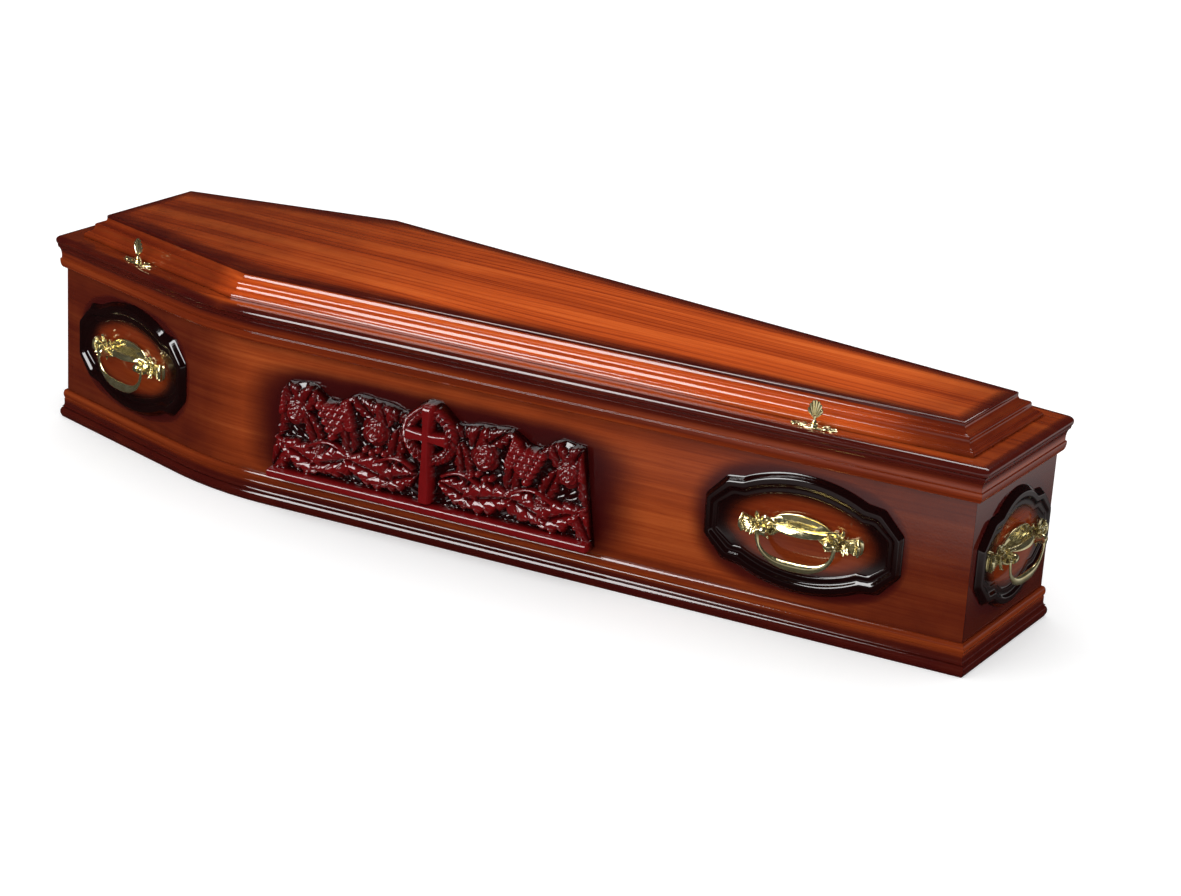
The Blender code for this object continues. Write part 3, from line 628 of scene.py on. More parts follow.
lid_wood = wood("lid_mahogany", (0.17, 0.018, 0.0034), (0.38, 0.056, 0.0085), (0.55, 0.104, 0.018), TONER,
                lid_toner, 0.28, ribbon_scale=26.0, rings=0.35, roughness=0.09)
panel_wood = wood("panel_mahogany", (0.29, 0.031, 0.0048), (0.67, 0.102, 0.0150), (0.90, 0.182, 0.033), TONER,
                  panel_toner, 0.40, ribbon_scale=16.0, rings=0.65, roughness=0.09)
low, half_board, under, over = BODY_HEIGHT + GAP, LID_BOARD / 2, 0.006, 0.012
edge_steps = arc((LID_OVERHANG - under, low + half_board), under, half_board, -90, 0, 6)
edge_steps += arc((LID_OVERHANG - over, low + half_board), over, half_board, 0, 90, 8)[1:]
lid = stack_mesh("lid_board_fine", edge_steps, lambda o: plan_outline(o, LID_CORNER + o - LID_OVERHANG))
new_piece("lid_board_fine", lid, lid_wood, stands_for=("lid_board",))
print("lid board", len(lid.polygons), "faces")

# %% [markdown]
# ## The raised lid
#
# Six lengths of a double hollow moulding climb from the board to the panel, and meet in sharp
# mitres. The streaks of light that make a lacquered coffin look lacquered live in these hollows.

# %% Lid mouldings and panel
LID_SETBACK, LID_MOULDING_WIDTH, LID_MOULDING_HEIGHT = 0.0244, 0.051, 0.0375
PANEL_THICKNESS, PANEL_EDGE, PANEL_ARRIS = 0.012, 0.006, 0.003
moulding_base = low + LID_BOARD + GAP


def lid_profile():
    rise, front = LID_MOULDING_HEIGHT, -LID_SETBACK
    depth, back, lip = LID_MOULDING_WIDTH * 0.69, front - LID_MOULDING_WIDTH, LID_MOULDING_HEIGHT * 0.13
    points = [(back, moulding_base), (front, moulding_base), (front, moulding_base + rise * 0.08)]
    points += arc((front - lip, moulding_base + rise * 0.08), lip, lip, 8, 90, 8)
    hollow = (front - depth * 0.19, moulding_base + rise * 0.54)
    points += arc(hollow, depth * 0.28, rise * 0.27, 270, 180, 12)
    points += arc((front - depth * 0.47 - lip * 0.7, moulding_base + rise * 0.58), lip * 0.7, lip, 6, 90, 6)
    points += arc((front - depth * 0.61, moulding_base + rise), depth * 0.39, rise * 0.29, 270, 180, 14)
    return points + [(back, moulding_base + rise)]


def moulding_toner_and_shade(finish, place):
    """Burgundy toner along the foot and towards the head and the foot end, and painted shade deep in the
    hollow under the panel's edge.
    """
    reach = plan_offset(finish, place)
    foot = finish.smooth(reach, -0.031, -0.025, 0.0, 0.40)
    # Painted shade: deep in the upper hollow, under the panel's edge.
    top = finish.smooth(reach, -0.052, -0.060, 0.0, 0.45)
    lengthways = finish.dot(place, (1.0, 0.0, 0.0))
    head_end = finish.smooth(lengthways, -0.44, -0.56, 0.0, 0.62)
    foot_end = finish.smooth(lengthways, 0.62, 0.90, 0.0, 0.72)
    return foot.most(top).most(head_end.most(foot_end))


MOULDING_COLOURS = (0.25, 0.024, 0.0040), (0.60, 0.082, 0.0115), (0.80, 0.145, 0.023)
moulding_wood = wood("moulding_mahogany", *MOULDING_COLOURS, TONER, moulding_toner_and_shade, 0.35, ribbon_scale=60.0)
profile = ease(lid_profile(), 0.0005)
for edge, name in enumerate(PLAQUES):
    mesh = sweep_mesh("lid_moulding_" + name + "_fine", profile, run(edge, edge + 1), start_u=edge * 0.37)
    new_piece("lid_moulding_" + name + "_fine", mesh, moulding_wood,
              stands_for=("lid_moulding_" + name,))

seat = moulding_base + LID_MOULDING_HEIGHT + GAP
let_in = -(LID_SETBACK + LID_MOULDING_WIDTH + GAP)
panel_edge = -(LID_SETBACK + LID_MOULDING_WIDTH * 0.69)
panel_top = seat + PANEL_EDGE
steps = [(let_in, panel_top - PANEL_THICKNESS), (let_in, seat), (panel_edge, seat)]
steps += arc((panel_edge - PANEL_ARRIS, panel_top - PANEL_ARRIS), PANEL_ARRIS, PANEL_ARRIS, 0, 90, 8)
panel = stack_mesh("lid_panel_fine", steps, lambda offset: plan_outline(offset, bent=False), (5.0, 0.3))
new_piece("lid_panel_fine", panel, panel_wood, stands_for=("lid_panel",))
print("panel top at", round(panel_top, 4))

# %% [markdown]
# ## Plinth and upper moulding
#
# The plinth has a round foot, a hollow, a neck and a bead. The upper moulding is a wide top that
# hollows back to a roll against the wall. Both bend round the shoulders with the side boards.

# %% Body mouldings
PLINTH_HEIGHT, PLINTH_OUT, UPPER_HEIGHT, UPPER_OUT = 0.056, 0.012, 0.046, 0.015


def plinth_profile():
    neck, foot_height, neck_top = PLINTH_OUT * 0.45, PLINTH_HEIGHT * 0.36, PLINTH_HEIGHT * 0.66
    points = [(GAP, 0.0), (PLINTH_OUT * 0.75, 0.0)]
    points += arc((neck, foot_height / 2), PLINTH_OUT - neck, foot_height / 2, -50, 85, 14)
    hollow = 0.0042
    points += arc((neck + hollow, foot_height + PLINTH_HEIGHT * 0.12), hollow, PLINTH_HEIGHT * 0.10,
                  265, 180, 8)
    points += [(neck, neck_top)]
    bead = (PLINTH_HEIGHT - neck_top) / 2
    points += arc((neck * 0.4, neck_top + bead), neck * 0.85, bead, -60, 80, 12)
    return points + [(GAP, PLINTH_HEIGHT)]


def upper_profile():
    foot, waist = BODY_HEIGHT - UPPER_HEIGHT, UPPER_OUT * 0.57
    hollow_foot = foot + UPPER_HEIGHT * 0.50
    points = [(GAP, foot), (UPPER_OUT * 0.32, foot)]
    points += arc((UPPER_OUT * 0.36, foot + UPPER_HEIGHT * 0.34), UPPER_OUT * 0.38, UPPER_HEIGHT * 0.34,
                  -80, 8, 12)
    points += [(UPPER_OUT * 0.58, hollow_foot - UPPER_HEIGHT * 0.09),
               (waist, hollow_foot - UPPER_HEIGHT * 0.03)]
    hollow_rise = BODY_HEIGHT - UPPER_HEIGHT * 0.12 - hollow_foot
    points += arc((UPPER_OUT, hollow_foot), UPPER_OUT - waist, hollow_rise, 180, 100, 12)
    return points + [(UPPER_OUT, BODY_HEIGHT), (GAP, BODY_HEIGHT)]


def plinth_toner(finish, place):
    height = finish.dot(place, (0.0, 0.0, 1.0))
    return finish.smooth(height, 0.042, 0.030, 0.0, 0.80)


# Painted shade: the upper moulding darkens towards its top, where it lies under the lid's overhang.
def upper_painted_shade(finish, place):
    height = finish.dot(place, (0.0, 0.0, 1.0))
    return finish.smooth(height, 0.324, 0.340, 0.0, 0.76)


PLINTH_COLOURS = (0.085, 0.009, 0.0025), (0.19, 0.027, 0.0055), (0.32, 0.060, 0.012)
UPPER_COLOURS = (0.085, 0.009, 0.0025), (0.18, 0.023, 0.0050), (0.31, 0.055, 0.011)
plinth_wood = wood("plinth_mahogany", *PLINTH_COLOURS, TONER, plinth_toner, 0.35, ribbon_scale=70.0)
upper_wood = wood("upper_mahogany", *UPPER_COLOURS, TONER, upper_painted_shade, 0.35, ribbon_scale=70.0)
BODY_MOULDINGS = ("plinth", plinth_profile(), plinth_wood), ("upper", upper_profile(), upper_wood)
for side, ends in {"left": (0, 2), "right": (3, 5), "foot": (2, 3), "head": (5, 6)}.items():
    for kind, shape, finish in BODY_MOULDINGS:
        name = kind + "_moulding_" + side
        mesh = sweep_mesh(name + "_fine", ease(shape, 0.0004), run(*ends), start_u=ends[0] * 0.41)
        new_piece(name + "_fine", mesh, finish, stands_for=(name,))
print("body mouldings ready")

# %% [markdown]
# ## The plaques
#
# Behind each handle the wall carries a routed plaque: straight ends, a little ear at each corner
# and long arcs above and below. Its border is a moulding bent round that outline. The outline
# function takes an inset from 0 at the rim to 1 at the field, and a curve gives the height there.

# %% Plaques
def plaque_outline(half_width, inset, steps=26):
    half = PLAQUE_HEIGHT / 2
    end = half_width - PLAQUE_BORDER * inset
    straight = half * (0.34 - 0.13 * inset)
    ear = (half_width - half * (0.35 + 0.17 * inset), half * (0.72 - 0.31 * inset))
    notch = (half_width - half * (0.64 + 0.08 * inset), half * (0.755 - 0.345 * inset))
    crown = half * (1.0 - 0.35 * inset)
    sagitta = crown - notch[1]
    radius = (notch[0] ** 2 + sagitta ** 2) / (2 * sagitta)
    spread = math.degrees(math.asin(notch[0] / radius))
    over_arc = arc((0.0, crown - radius), radius, radius, 90 - spread, 90 + spread, steps)
    upper = [(end, straight), ear] + over_arc + [(-ear[0], ear[1]), (-end, straight)]
    return soften(upper + [(-x, -y) for x, y in upper])


def soften(outline):
    """Round the corners of a closed outline a little, keeping the number of points."""
    points = []
    for before, here, after in zip(outline[-1:] + outline, outline, outline[1:] + outline[:1]):
        one, two = np.subtract(before, here), np.subtract(after, here)
        a, b = np.linalg.norm(one), np.linalg.norm(two)
        cut = min(0.0052, a * 0.42, b * 0.42)
        start, end = here + one / a * cut, here + two / b * cut
        for t in (0.0, 0.25, 0.5, 0.75, 1.0):
            points.append(tuple((1 - t) ** 2 * start + 2 * t * (1 - t) * np.array(here) + t * t * end))
    return points


BORDER_CURVE = [
    (0.0, 0.0016), (0.03, 0.0022), (0.05, 0.0030), (0.20, 0.0102), (0.225, 0.0111), (0.26, PLAQUE_RIM),
    (0.47, PLAQUE_RIM), (0.50, 0.0112), (0.53, 0.0105), (0.62, 0.0078), (0.66, 0.0071), (0.72, 0.0068),
    (0.88, 0.0068), (0.92, 0.0066), (0.95, 0.0056), (1.0, PLAQUE_FIELD),
]


def plaque_height(inset):
    """The routed border: a quirk, a steep bevel, a flat ridge, a hollow and a last small step."""
    places, heights = zip(*BORDER_CURVE)
    return float(np.interp(inset, places, heights))


def plaque_toner(half_width):
    def toner(finish, place):
        return plaque_mask(finish, finish.grain(), half_width)
    return toner


def plaque_mask(finish, grain, half_width):
    across = finish.dot(grain, (1.0 / (half_width - PLAQUE_BORDER), 0.0, 0.0))
    upward = finish.dot(grain, (0.0, 1.0 / (PLAQUE_HEIGHT * 0.36), 0.0))
    oval = (across ** 2 + upward ** 2) ** 0.5
    return finish.smooth(oval, 0.58, 1.04, 0.0, 1.05)


plaque_woods = {}
for name, (edge, distance, width) in PLAQUES.items():
    if width not in plaque_woods:
        plaque_woods[width] = wood("plaque_%d" % round(width * 1000), (0.085, 0.0085, 0.0024),
                                   (0.185, 0.0250, 0.0055), (0.28, 0.050, 0.011), (0.0075, 0.0014, 0.0014),
                                   plaque_toner(width / 2), 0.4)
    insets = [0.0, 0.0] + list(np.linspace(0.01, 0.985, 44)) + [1.0]
    heights = [0.0] + [plaque_height(inset) for inset in insets[1:-1]] + [PLAQUE_FIELD]
    rings = [[(x, y, h) for x, y in plaque_outline(width / 2, i)] for i, h in zip(insets, heights)]
    mesh = rings_mesh("handle_plaque_" + name + "_fine", rings, lambda p: (p[0], p[1]), 28)
    mesh.transform(wall_frame(edge, distance, PLAQUE_CENTRE, GAP))
    new_piece("handle_plaque_" + name + "_fine", mesh, plaque_woods[width],
              stands_for=("handle_plaque_" + name,))
print("plaques:", len(PLAQUES))

# %% [markdown]
# ## The carved panels
#
# A height field is enough for carving that is seen from the front: every point of a fine grid is
# pushed out by the tallest form that covers it. The forms are traditional ones: a plain cross in a
# wreath, roses, grapes, vine leaves and ears of wheat, with a moulded ledge under them.

# %% Carving forms
def oval_space(x, y, form):
    """Coordinates along and across a turned oval, each -1 to 1 inside it."""
    centre_x, centre_y, length, width, degrees = form
    angle = math.radians(degrees)
    dx, dy = x - centre_x, y - centre_y
    lengthwise = (dx * math.cos(angle) + dy * math.sin(angle)) / length
    crosswise = (dy * math.cos(angle) - dx * math.sin(angle)) / width
    return lengthwise, crosswise


def dome(reach_squared):
    """1 in the middle of a round form, falling to 0 at its rim as a ball does."""
    return np.sqrt(np.clip(1 - reach_squared, 0, 1))


def carve_leaf(x, y, form, top):
    """A lobed leaf: a scalloped outline, a sunk midrib, slanting veins and edges that roll down."""
    t, s = oval_space(x, y, form)
    lobes = 0.70 + 0.30 * np.abs(np.sin((t + 1 + np.abs(s) * 0.35) * math.pi * 2.0)) ** 0.7
    outline = np.clip(1 - t * t, 0, 1) ** 0.55 * np.clip(1.12 - 0.40 * t, 0, 2) * lobes
    share = np.abs(s) / np.maximum(outline, 1e-4)
    edge = np.sqrt(np.clip(1 - share ** 2.6, 0, 1))
    arch = 0.70 + 0.30 * np.sin(np.clip(share, 0, 1) * math.pi * 0.75)
    vein = 0.06 * np.clip(np.cos((t * 1.3 - np.abs(s) * 1.1) * math.pi * 3.0), 0, 1) ** 4
    height = top * (arch * (0.36 + 0.64 * edge) - vein - 0.15 * np.exp(-(s / 0.09) ** 2) + 0.06 * t)
    return np.where((share < 1) & (np.abs(t) < 1), height, 0.0)


def carve_rose(x, y, centre, radius, top, phase):
    """An open rose: rounds of cupped petals, each turned half a petal from the last, and a bud."""
    dx, dy = x - centre[0], y - centre[1]
    reach, angle = np.hypot(dx, dy) / radius, np.arctan2(dy, dx)
    field = np.zeros_like(x)
    for number, (size, level) in enumerate(((1.0, 0.62), (0.76, 0.78), (0.54, 0.90), (0.33, 1.0))):
        petal = np.abs(np.cos(2.5 * (angle + phase + number * math.pi / 5))) ** 0.55
        edge = size * (0.84 + 0.16 * petal)
        share = reach / edge
        cup = level * (0.80 + 0.20 * np.clip(share, 0, 1) ** 3 - 0.10 * (1 - petal))
        roll = np.sqrt(np.clip(1 - np.clip((share - 0.80) / 0.20, 0, 1) ** 2, 0, 1))
        field = np.maximum(field, np.where(share < 1, top * cup * (0.72 + 0.28 * roll), 0.0))
    return field


def carve_balls(x, y, places, radius, base_height, rise_height):
    field = np.zeros_like(x)
    for px, py in places:
        reach = ((x - px) ** 2 + (y - py) ** 2) / radius ** 2
        height = base_height + rise_height * dome(reach)
        field = np.maximum(field, np.where(reach < 1, height, 0))
    return field


def carve_stem(x, y, path, radius, top):
    field = np.zeros_like(x)
    for (ax, ay), (bx, by) in zip(path, path[1:]):
        dx, dy = bx - ax, by - ay
        t = np.clip(((x - ax) * dx + (y - ay) * dy) / (dx * dx + dy * dy), 0, 1)
        reach = np.hypot(x - ax - dx * t, y - ay - dy * t) / radius
        height = top * (0.7 + 0.3 * dome(reach ** 2))
        field = np.maximum(field, np.where(reach < 1, height, 0))
    return field


def carve_wheat(x, y, root, degrees, length, top):
    """An ear of wheat: pairs of grains up a stalk that ends in a point."""
    angle = math.radians(degrees)
    field = carve_stem(x, y, [root, (root[0] + math.cos(angle) * length, root[1] + math.sin(angle) * length)],
                       0.0022, top * 0.7)
    for pair in range(7):
        t = 0.42 + 0.085 * pair
        for lean in (-1, 1, 0):
            px = root[0] + math.cos(angle) * length * t - math.sin(angle) * lean * 0.0052
            py = root[1] + math.sin(angle) * length * t + math.cos(angle) * lean * 0.0052
            u, v = oval_space(x, y, (px, py, 0.0085, 0.0042, degrees + lean * 24))
            reach = u * u + v * v
            height = top * (0.72 + 0.28 * dome(reach))
            field = np.maximum(field, np.where(reach < 1, height, 0))
    return field


def carve_cross(x, y, top):
    """A plain bevelled cross, with slightly flared ends."""
    flare_up = 0.0085 + 0.0030 * np.clip(np.abs(y - 0.130) / 0.07, 0, 1) ** 2
    flare_side = 0.0085 + 0.0030 * np.clip(np.abs(x) / 0.036, 0, 1) ** 2
    upright = np.where((y > 0.020) & (y < 0.2000), flare_up - np.abs(x), -1)
    arms = np.where(np.abs(x) < 0.040, flare_side - np.abs(y - 0.142), -1)
    inside_by = np.maximum(upright, arms)
    return np.where(inside_by > 0, top * (0.86 + 0.14 * np.clip(inside_by / 0.0035, 0, 1)), 0.0)


def carve_wreath(x, y, centre, radius, width, top):
    """A wreath of small overlapping leaves."""
    dx, dy = x - centre[0], y - centre[1]
    reach, angle = np.hypot(dx, dy), np.arctan2(dy, dx)
    across = (reach - radius) / width
    leaf = (angle / (2 * math.pi) * 26 + np.abs(across) * 0.9) % 1.0
    body = np.sqrt(np.clip(1 - across ** 2, 0, 1))
    height = top * (0.50 + 0.50 * body) * (0.74 + 0.26 * leaf) - 0.10 * top * np.exp(-(across / 0.10) ** 2)
    return np.where(np.abs(across) < 1, height, 0.0)


print("carving forms ready")

# %% [markdown]
# The composition is one half, mirrored: |x| is used in place of x, as a carver pounces a drawing on
# one side of a centre line and then on the other. The ground between the forms is tooled, so it is
# never dead flat, and it stays above the wall.

# %% Carved panel mesh
LEDGE_SHARE = 0.075


def crest(share):
    """The uneven top outline, as a share of the panel's height."""
    middle = 0.13 * np.exp(-(share / 0.085) ** 2)
    swells = 0.050 * np.cos(4 * math.pi * (np.abs(share) - 0.215) / 0.5) + 0.020 * np.cos(46 * np.abs(share))
    return 0.85 + middle + swells * np.minimum(1.0, np.abs(share) / 0.10)


def carved_height(x, y):
    """How far the carving stands out at each point, in metres."""
    half = np.abs(x)
    depth = RELIEF_DEPTH
    field = depth * (0.27 + 0.045 * np.sin(half * 260 + 3 * np.sin(y * 110)) * np.sin(y * 230))
    leaves = [
        ((0.062, 0.182, 0.032, 0.019, 100), 0.56), ((0.098, 0.172, 0.036, 0.022, 72), 0.66),
        ((0.142, 0.172, 0.032, 0.020, 40), 0.60), ((0.180, 0.170, 0.034, 0.021, 128), 0.68),
        ((0.218, 0.168, 0.030, 0.019, 70), 0.62), ((0.250, 0.162, 0.032, 0.020, 118), 0.66),
        ((0.290, 0.166, 0.032, 0.020, 62), 0.62), ((0.068, 0.108, 0.036, 0.020, 100), 0.62),
        ((0.166, 0.110, 0.036, 0.019, 80), 0.62), ((0.240, 0.104, 0.034, 0.019, 64), 0.62),
        ((0.310, 0.112, 0.036, 0.020, 96), 0.64), ((0.060, 0.050, 0.040, 0.026, 160), 0.72),
        ((0.122, 0.052, 0.050, 0.030, 14), 0.80), ((0.196, 0.050, 0.048, 0.029, -16), 0.76),
        ((0.262, 0.050, 0.046, 0.028, 24), 0.80), ((0.306, 0.046, 0.034, 0.024, 118), 0.72),
    ]
    for form, top in leaves:
        field = np.maximum(field, carve_leaf(half, y, form, top * depth))
    vine = [(0.03 + 0.29 * t, 0.074 + 0.012 * math.sin(t * 13)) for t in np.linspace(0, 1, 26)]
    field = np.maximum(field, carve_stem(half, y, vine, 0.0036, 0.70 * depth))
    ears = ((0.150, 0.086), 74), ((0.160, 0.086), 60), ((0.300, 0.090), 84), ((0.306, 0.086), 66)
    for root, degrees in ears:
        field = np.maximum(field, carve_wheat(half, y, root, degrees, 0.092, 0.76 * depth))
    roses = [((0.110, 0.126), 0.029, 0.92, 0.6), ((0.274, 0.130), 0.027, 0.92, 1.3),
             ((0.226, 0.068), 0.018, 0.84, 0.2)]
    for centre, radius, top, phase in roses:
        field = np.maximum(field, carve_rose(half, y, centre, radius, top * depth, phase))
    grapes = []
    for row in range(5):
        for number in range(5 - row):
            grapes.append((0.196 + (number - (4 - row) / 2) * 0.0142, 0.152 - row * 0.0130))
    field = np.maximum(field, carve_balls(half, y, grapes, 0.0084, 0.52 * depth, 0.34 * depth))
    berries = [(0.088 + 0.0130 * number, 0.0900 + 0.004 * math.sin(number * 2.1)) for number in range(4)]
    field = np.maximum(field, carve_balls(half, y, berries, 0.0062, 0.52 * depth, 0.28 * depth))
    field = np.maximum(field, carve_wreath(x, y, (0.0, 0.142), 0.044, 0.0125, 0.80 * depth))
    return np.maximum(field, carve_cross(x, y, 0.97 * depth))


def relief_mesh(name, columns=520, rows=164):
    """A closed block: the carved front, the plain back, and walls all round."""
    shares = np.linspace(-0.5, 0.5, columns + 1)[:, None]
    rise_shares = np.linspace(0, 1, rows - 9)[None, :]
    tops = crest(shares)
    upper = LEDGE_SHARE + (tops - LEDGE_SHARE) * rise_shares
    ledge = np.linspace(0, LEDGE_SHARE, 10, endpoint=False)[None, :].repeat(columns + 1, 0)
    y_share = np.concatenate([ledge, upper], 1)
    lean = 1.0 - 0.10 * np.maximum(0, y_share - LEDGE_SHARE)
    x, y = shares * lean * RELIEF_LENGTH, y_share * RELIEF_HEIGHT
    z = carved_height(x, y)
    ledge_line = LEDGE_SHARE * RELIEF_HEIGHT
    ledge_shape = RELIEF_DEPTH * (0.90 + 0.10 * np.clip(np.minimum(y, ledge_line - y) / 0.0030, 0, 1) ** 0.5)
    step = np.clip((ledge_line + 0.0016 - y) / 0.0016, 0, 1)
    z = np.where(y < ledge_line + 0.0016, z + (np.maximum(ledge_shape, z) - z) * step, z)
    top_fade = np.clip((tops * RELIEF_HEIGHT - y) / 0.0110, 0, 1)
    z = np.where(y > ledge_line, z * (0.28 + 0.72 * np.sqrt(1 - (1 - top_fade) ** 2)), z)
    front = np.stack([x, y, z], -1)
    rim_x, rim_y = x[:, [0, -1]], y[:, [0, -1]]
    count = rows + 1
    points = list(front.reshape(-1, 3))
    faces = []
    for c in range(columns):
        base_index = c * count
        faces += [(base_index + r, base_index + count + r, base_index + count + r + 1, base_index + r + 1)
                  for r in range(rows)]
    foot_start = len(points)
    points += [(rim_x[c, 0], rim_y[c, 0], 0.0) for c in range(columns + 1)]
    top_start = len(points)
    points += [(rim_x[c, 1], rim_y[c, 1], 0.0) for c in range(columns + 1)]
    for c in range(columns):
        here, after = c * count, (c + 1) * count
        faces.append((foot_start + c, foot_start + c + 1, after, here))
        faces.append((here + rows, after + rows, top_start + c + 1, top_start + c))
        faces.append((top_start + c, top_start + c + 1, foot_start + c + 1, foot_start + c))
    faces.append(tuple([foot_start] + list(range(0, count)) + [top_start]))
    end = columns * count
    faces.append(tuple([top_start + columns] + list(range(end + rows, end - 1, -1)) + [foot_start + columns]))
    uvs = [(points[i][0], points[i][1]) for face in faces for i in face]
    return outward_mesh(mesh_from(name, points, faces, uvs, 180))


print("crest at the cross and at the rim:", round(float(crest(0.0)), 3), round(float(crest(0.5)), 3))

# %% [markdown]
# The carving is moulded and sprayed in one very dark, wet-looking burgundy. Its hollows are painted
# darker as shade, so the mask is the depth itself, taken from how far a point stands off the wall.

# %% Burgundy carving finish
def carving_finish(name, edge):
    finish = Finish(name, 0.07, specular=0.5, viewport=(0.06, 0.006, 0.006))
    facing = outward(edge)
    off_wall = finish.dot(finish.place(), (*map(float, facing), 0.0)) - float(facing @ CORNERS[edge])
    # Painted shade: darker towards the wall, in the hollows between the forms.
    hollow_shade_mask = finish.smooth(off_wall, 0.010, 0.032)
    mottle = finish.noise(finish.place(), scale=45.0, detail=3.0)
    colour = finish.blend(hollow_shade_mask * (mottle * 0.5 + 0.7), (0.014, 0.0007, 0.0009), (0.165, 0.0050, 0.0060))
    finish.feed("Base Color", colour)
    ripple = finish.noise(finish.place(), scale=190.0, detail=2.0)
    finish.bump(ripple, 0.0003, 0.6)
    return finish.material


for side, (edge, distance) in RELIEFS.items():
    mesh = relief_mesh("carved_relief_" + side + "_fine")
    mesh.transform(wall_frame(edge, distance, RELIEF_BOTTOM, GAP))
    new_piece("carved_relief_" + side + "_fine", mesh, carving_finish("burgundy_carving_" + side, edge),
              stands_for=("carved_relief_" + side,))
    print("carved panel", side, len(mesh.polygons), "faces")

# %% [markdown]
# ## Polished brass
#
# The fittings are cast, plated and polished to a pale yellow gold. Nearly all of their look is what
# they reflect, so the finish itself only drifts a little in colour and has the faint unevenness of a
# casting under the polish.

# %% Brass finish
BRASS_DEEP, BRASS_PALE = (0.68, 0.57, 0.28), (0.86, 0.79, 0.48)


def brass_finish(name, roughness):
    finish = Finish(name, roughness, metallic=0.93, viewport=(0.72, 0.58, 0.26))
    place = finish.place()
    drift = finish.noise(place, scale=70.0, detail=3.0)
    finish.feed("Base Color", finish.blend(finish.smooth(drift, 0.3, 0.7), BRASS_DEEP, BRASS_PALE))
    film = finish.noise(place, scale=160.0, detail=2.0)
    finish.feed("Roughness", finish.smooth(film, 0.35, 0.8, roughness, roughness + 0.12))
    finish.bump(finish.noise(place, scale=330.0, detail=2.0), 0.00005)
    return finish.material


brass = brass_finish("polished_brass", 0.09)
print("brass ready")

# %% [markdown]
# ## Geometry Nodes for rods and rows
#
# Two rules make most of the small brass: a rod that follows a path and swells in the middle, and a
# row of equal things along a path. Each rule is one node tree with named inputs. A modifier runs it,
# the result is turned into a plain mesh, and the working object is thrown away.

# %% Tree helper
class Growth:
    """A Geometry Nodes tree: named inputs, nodes by type, and a finished way out."""

    def __init__(self, name):
        self.group = bpy.data.node_groups.new(name, "GeometryNodeTree")
        for way in ("INPUT", "OUTPUT"):
            self.group.interface.new_socket("Geometry", in_out=way, socket_type="NodeSocketGeometry")
        self.entry = self.group.nodes.new("NodeGroupInput")
        self.way_out = self.group.nodes.new("NodeGroupOutput")

    def given(self, name, kind="Float"):
        if name not in self.entry.outputs:
            self.group.interface.new_socket(name, in_out="INPUT", socket_type="NodeSocket" + kind)
        return self.entry.outputs[name]

    def node(self, kind, settings=(), inputs=(), output=0):
        made = self.group.nodes.new(kind)
        for key, value in dict(settings).items():
            setattr(made, key, value)
        for key, value in dict(inputs).items():
            if isinstance(value, bpy.types.NodeSocket):
                self.group.links.new(value, made.inputs[key])
            else:
                made.inputs[key].default_value = value
        return made.outputs[output]

    def close(self, geometry):
        plain = self.node("GeometryNodeRealizeInstances", {}, {0: geometry})
        skin = self.given("Material", "Material")
        dressed = self.node("GeometryNodeSetMaterial", {}, {"Geometry": plain, "Material": skin})
        self.group.links.new(dressed, self.way_out.inputs[0])
        return self


def grow(start, growth, **sizes):
    """Run a tree on a curve or mesh and give back a plain mesh."""
    worker = bpy.data.objects.new("worker", start)
    bpy.context.scene.collection.objects.link(worker)
    modifier = worker.modifiers.new("growth", "NODES")
    modifier.node_group = growth.group
    for item in growth.group.interface.items_tree:
        if item.in_out == "INPUT" and item.name in sizes:
            modifier[item.identifier] = sizes[item.name]
    evaluated = worker.evaluated_get(bpy.context.evaluated_depsgraph_get())
    mesh = bpy.data.meshes.new_from_object(evaluated)
    worker.modifiers.remove(modifier)
    bpy.data.objects.remove(worker, do_unlink=True)
    return mesh


def path_curve(points):
    curve = bpy.data.curves.new("path", "CURVE")
    curve.dimensions = "3D"
    spline = curve.splines.new("POLY")
    spline.points.add(len(points) - 1)
    for spot, place in zip(spline.points, points):
        spot.co = (*map(float, place), 1.0)
    return curve


def reach_of(mesh):
    """The two far corners of a mesh, in metres."""
    spots = np.array([v.co for v in mesh.vertices])
    return np.round(spots.min(0), 4), np.round(spots.max(0), 4)


print("tree helper ready")

# %% [markdown]
# The rod is the first rule. An oval is carried along the path, and a smooth step on the distance
# from the path's middle makes it swell there. A trial rod shows that the oval lies the right way.

# %% Rod tree
def rod_rule():
    """Path in, rod out: oval in section, and swelling smoothly towards the middle of its length."""
    rule = Growth("rod_along_path")
    share = rule.node("GeometryNodeSplineParameter")
    away = rule.node("ShaderNodeMath", {"operation": "SUBTRACT"}, {0: share, 1: 0.5})
    away = rule.node("ShaderNodeMath", {"operation": "ABSOLUTE"}, {0: away})
    thickness = rule.node("ShaderNodeMapRange", {"interpolation_type": "SMOOTHSTEP"}, {
        "Value": away, "From Min": 0.36, "From Max": 0.05,
        "To Min": rule.given("End Thickness"), "To Max": rule.given("Middle Thickness")})
    circle = rule.node("GeometryNodeCurvePrimitiveCircle", {"mode": "RADIUS"}, {
        "Resolution": rule.given("Sides", "Int"), "Radius": 1.0})
    oval = rule.node("ShaderNodeCombineXYZ", {}, {
        "X": rule.given("Width Share"), "Y": rule.given("Depth Share"), "Z": 1.0})
    section = rule.node("GeometryNodeTransform", {}, {"Geometry": circle, "Scale": oval})
    path = rule.node("GeometryNodeSetCurveNormal", {"mode": "Z_UP"}, {"Curve": rule.given("Geometry")})
    rod = rule.node("GeometryNodeCurveToMesh", {}, {
        "Curve": path, "Profile Curve": section, "Scale": thickness, "Fill Caps": True})
    return rule.close(rule.node("GeometryNodeSetShadeSmooth", {}, {"Geometry": rod}))


ROD = rod_rule()


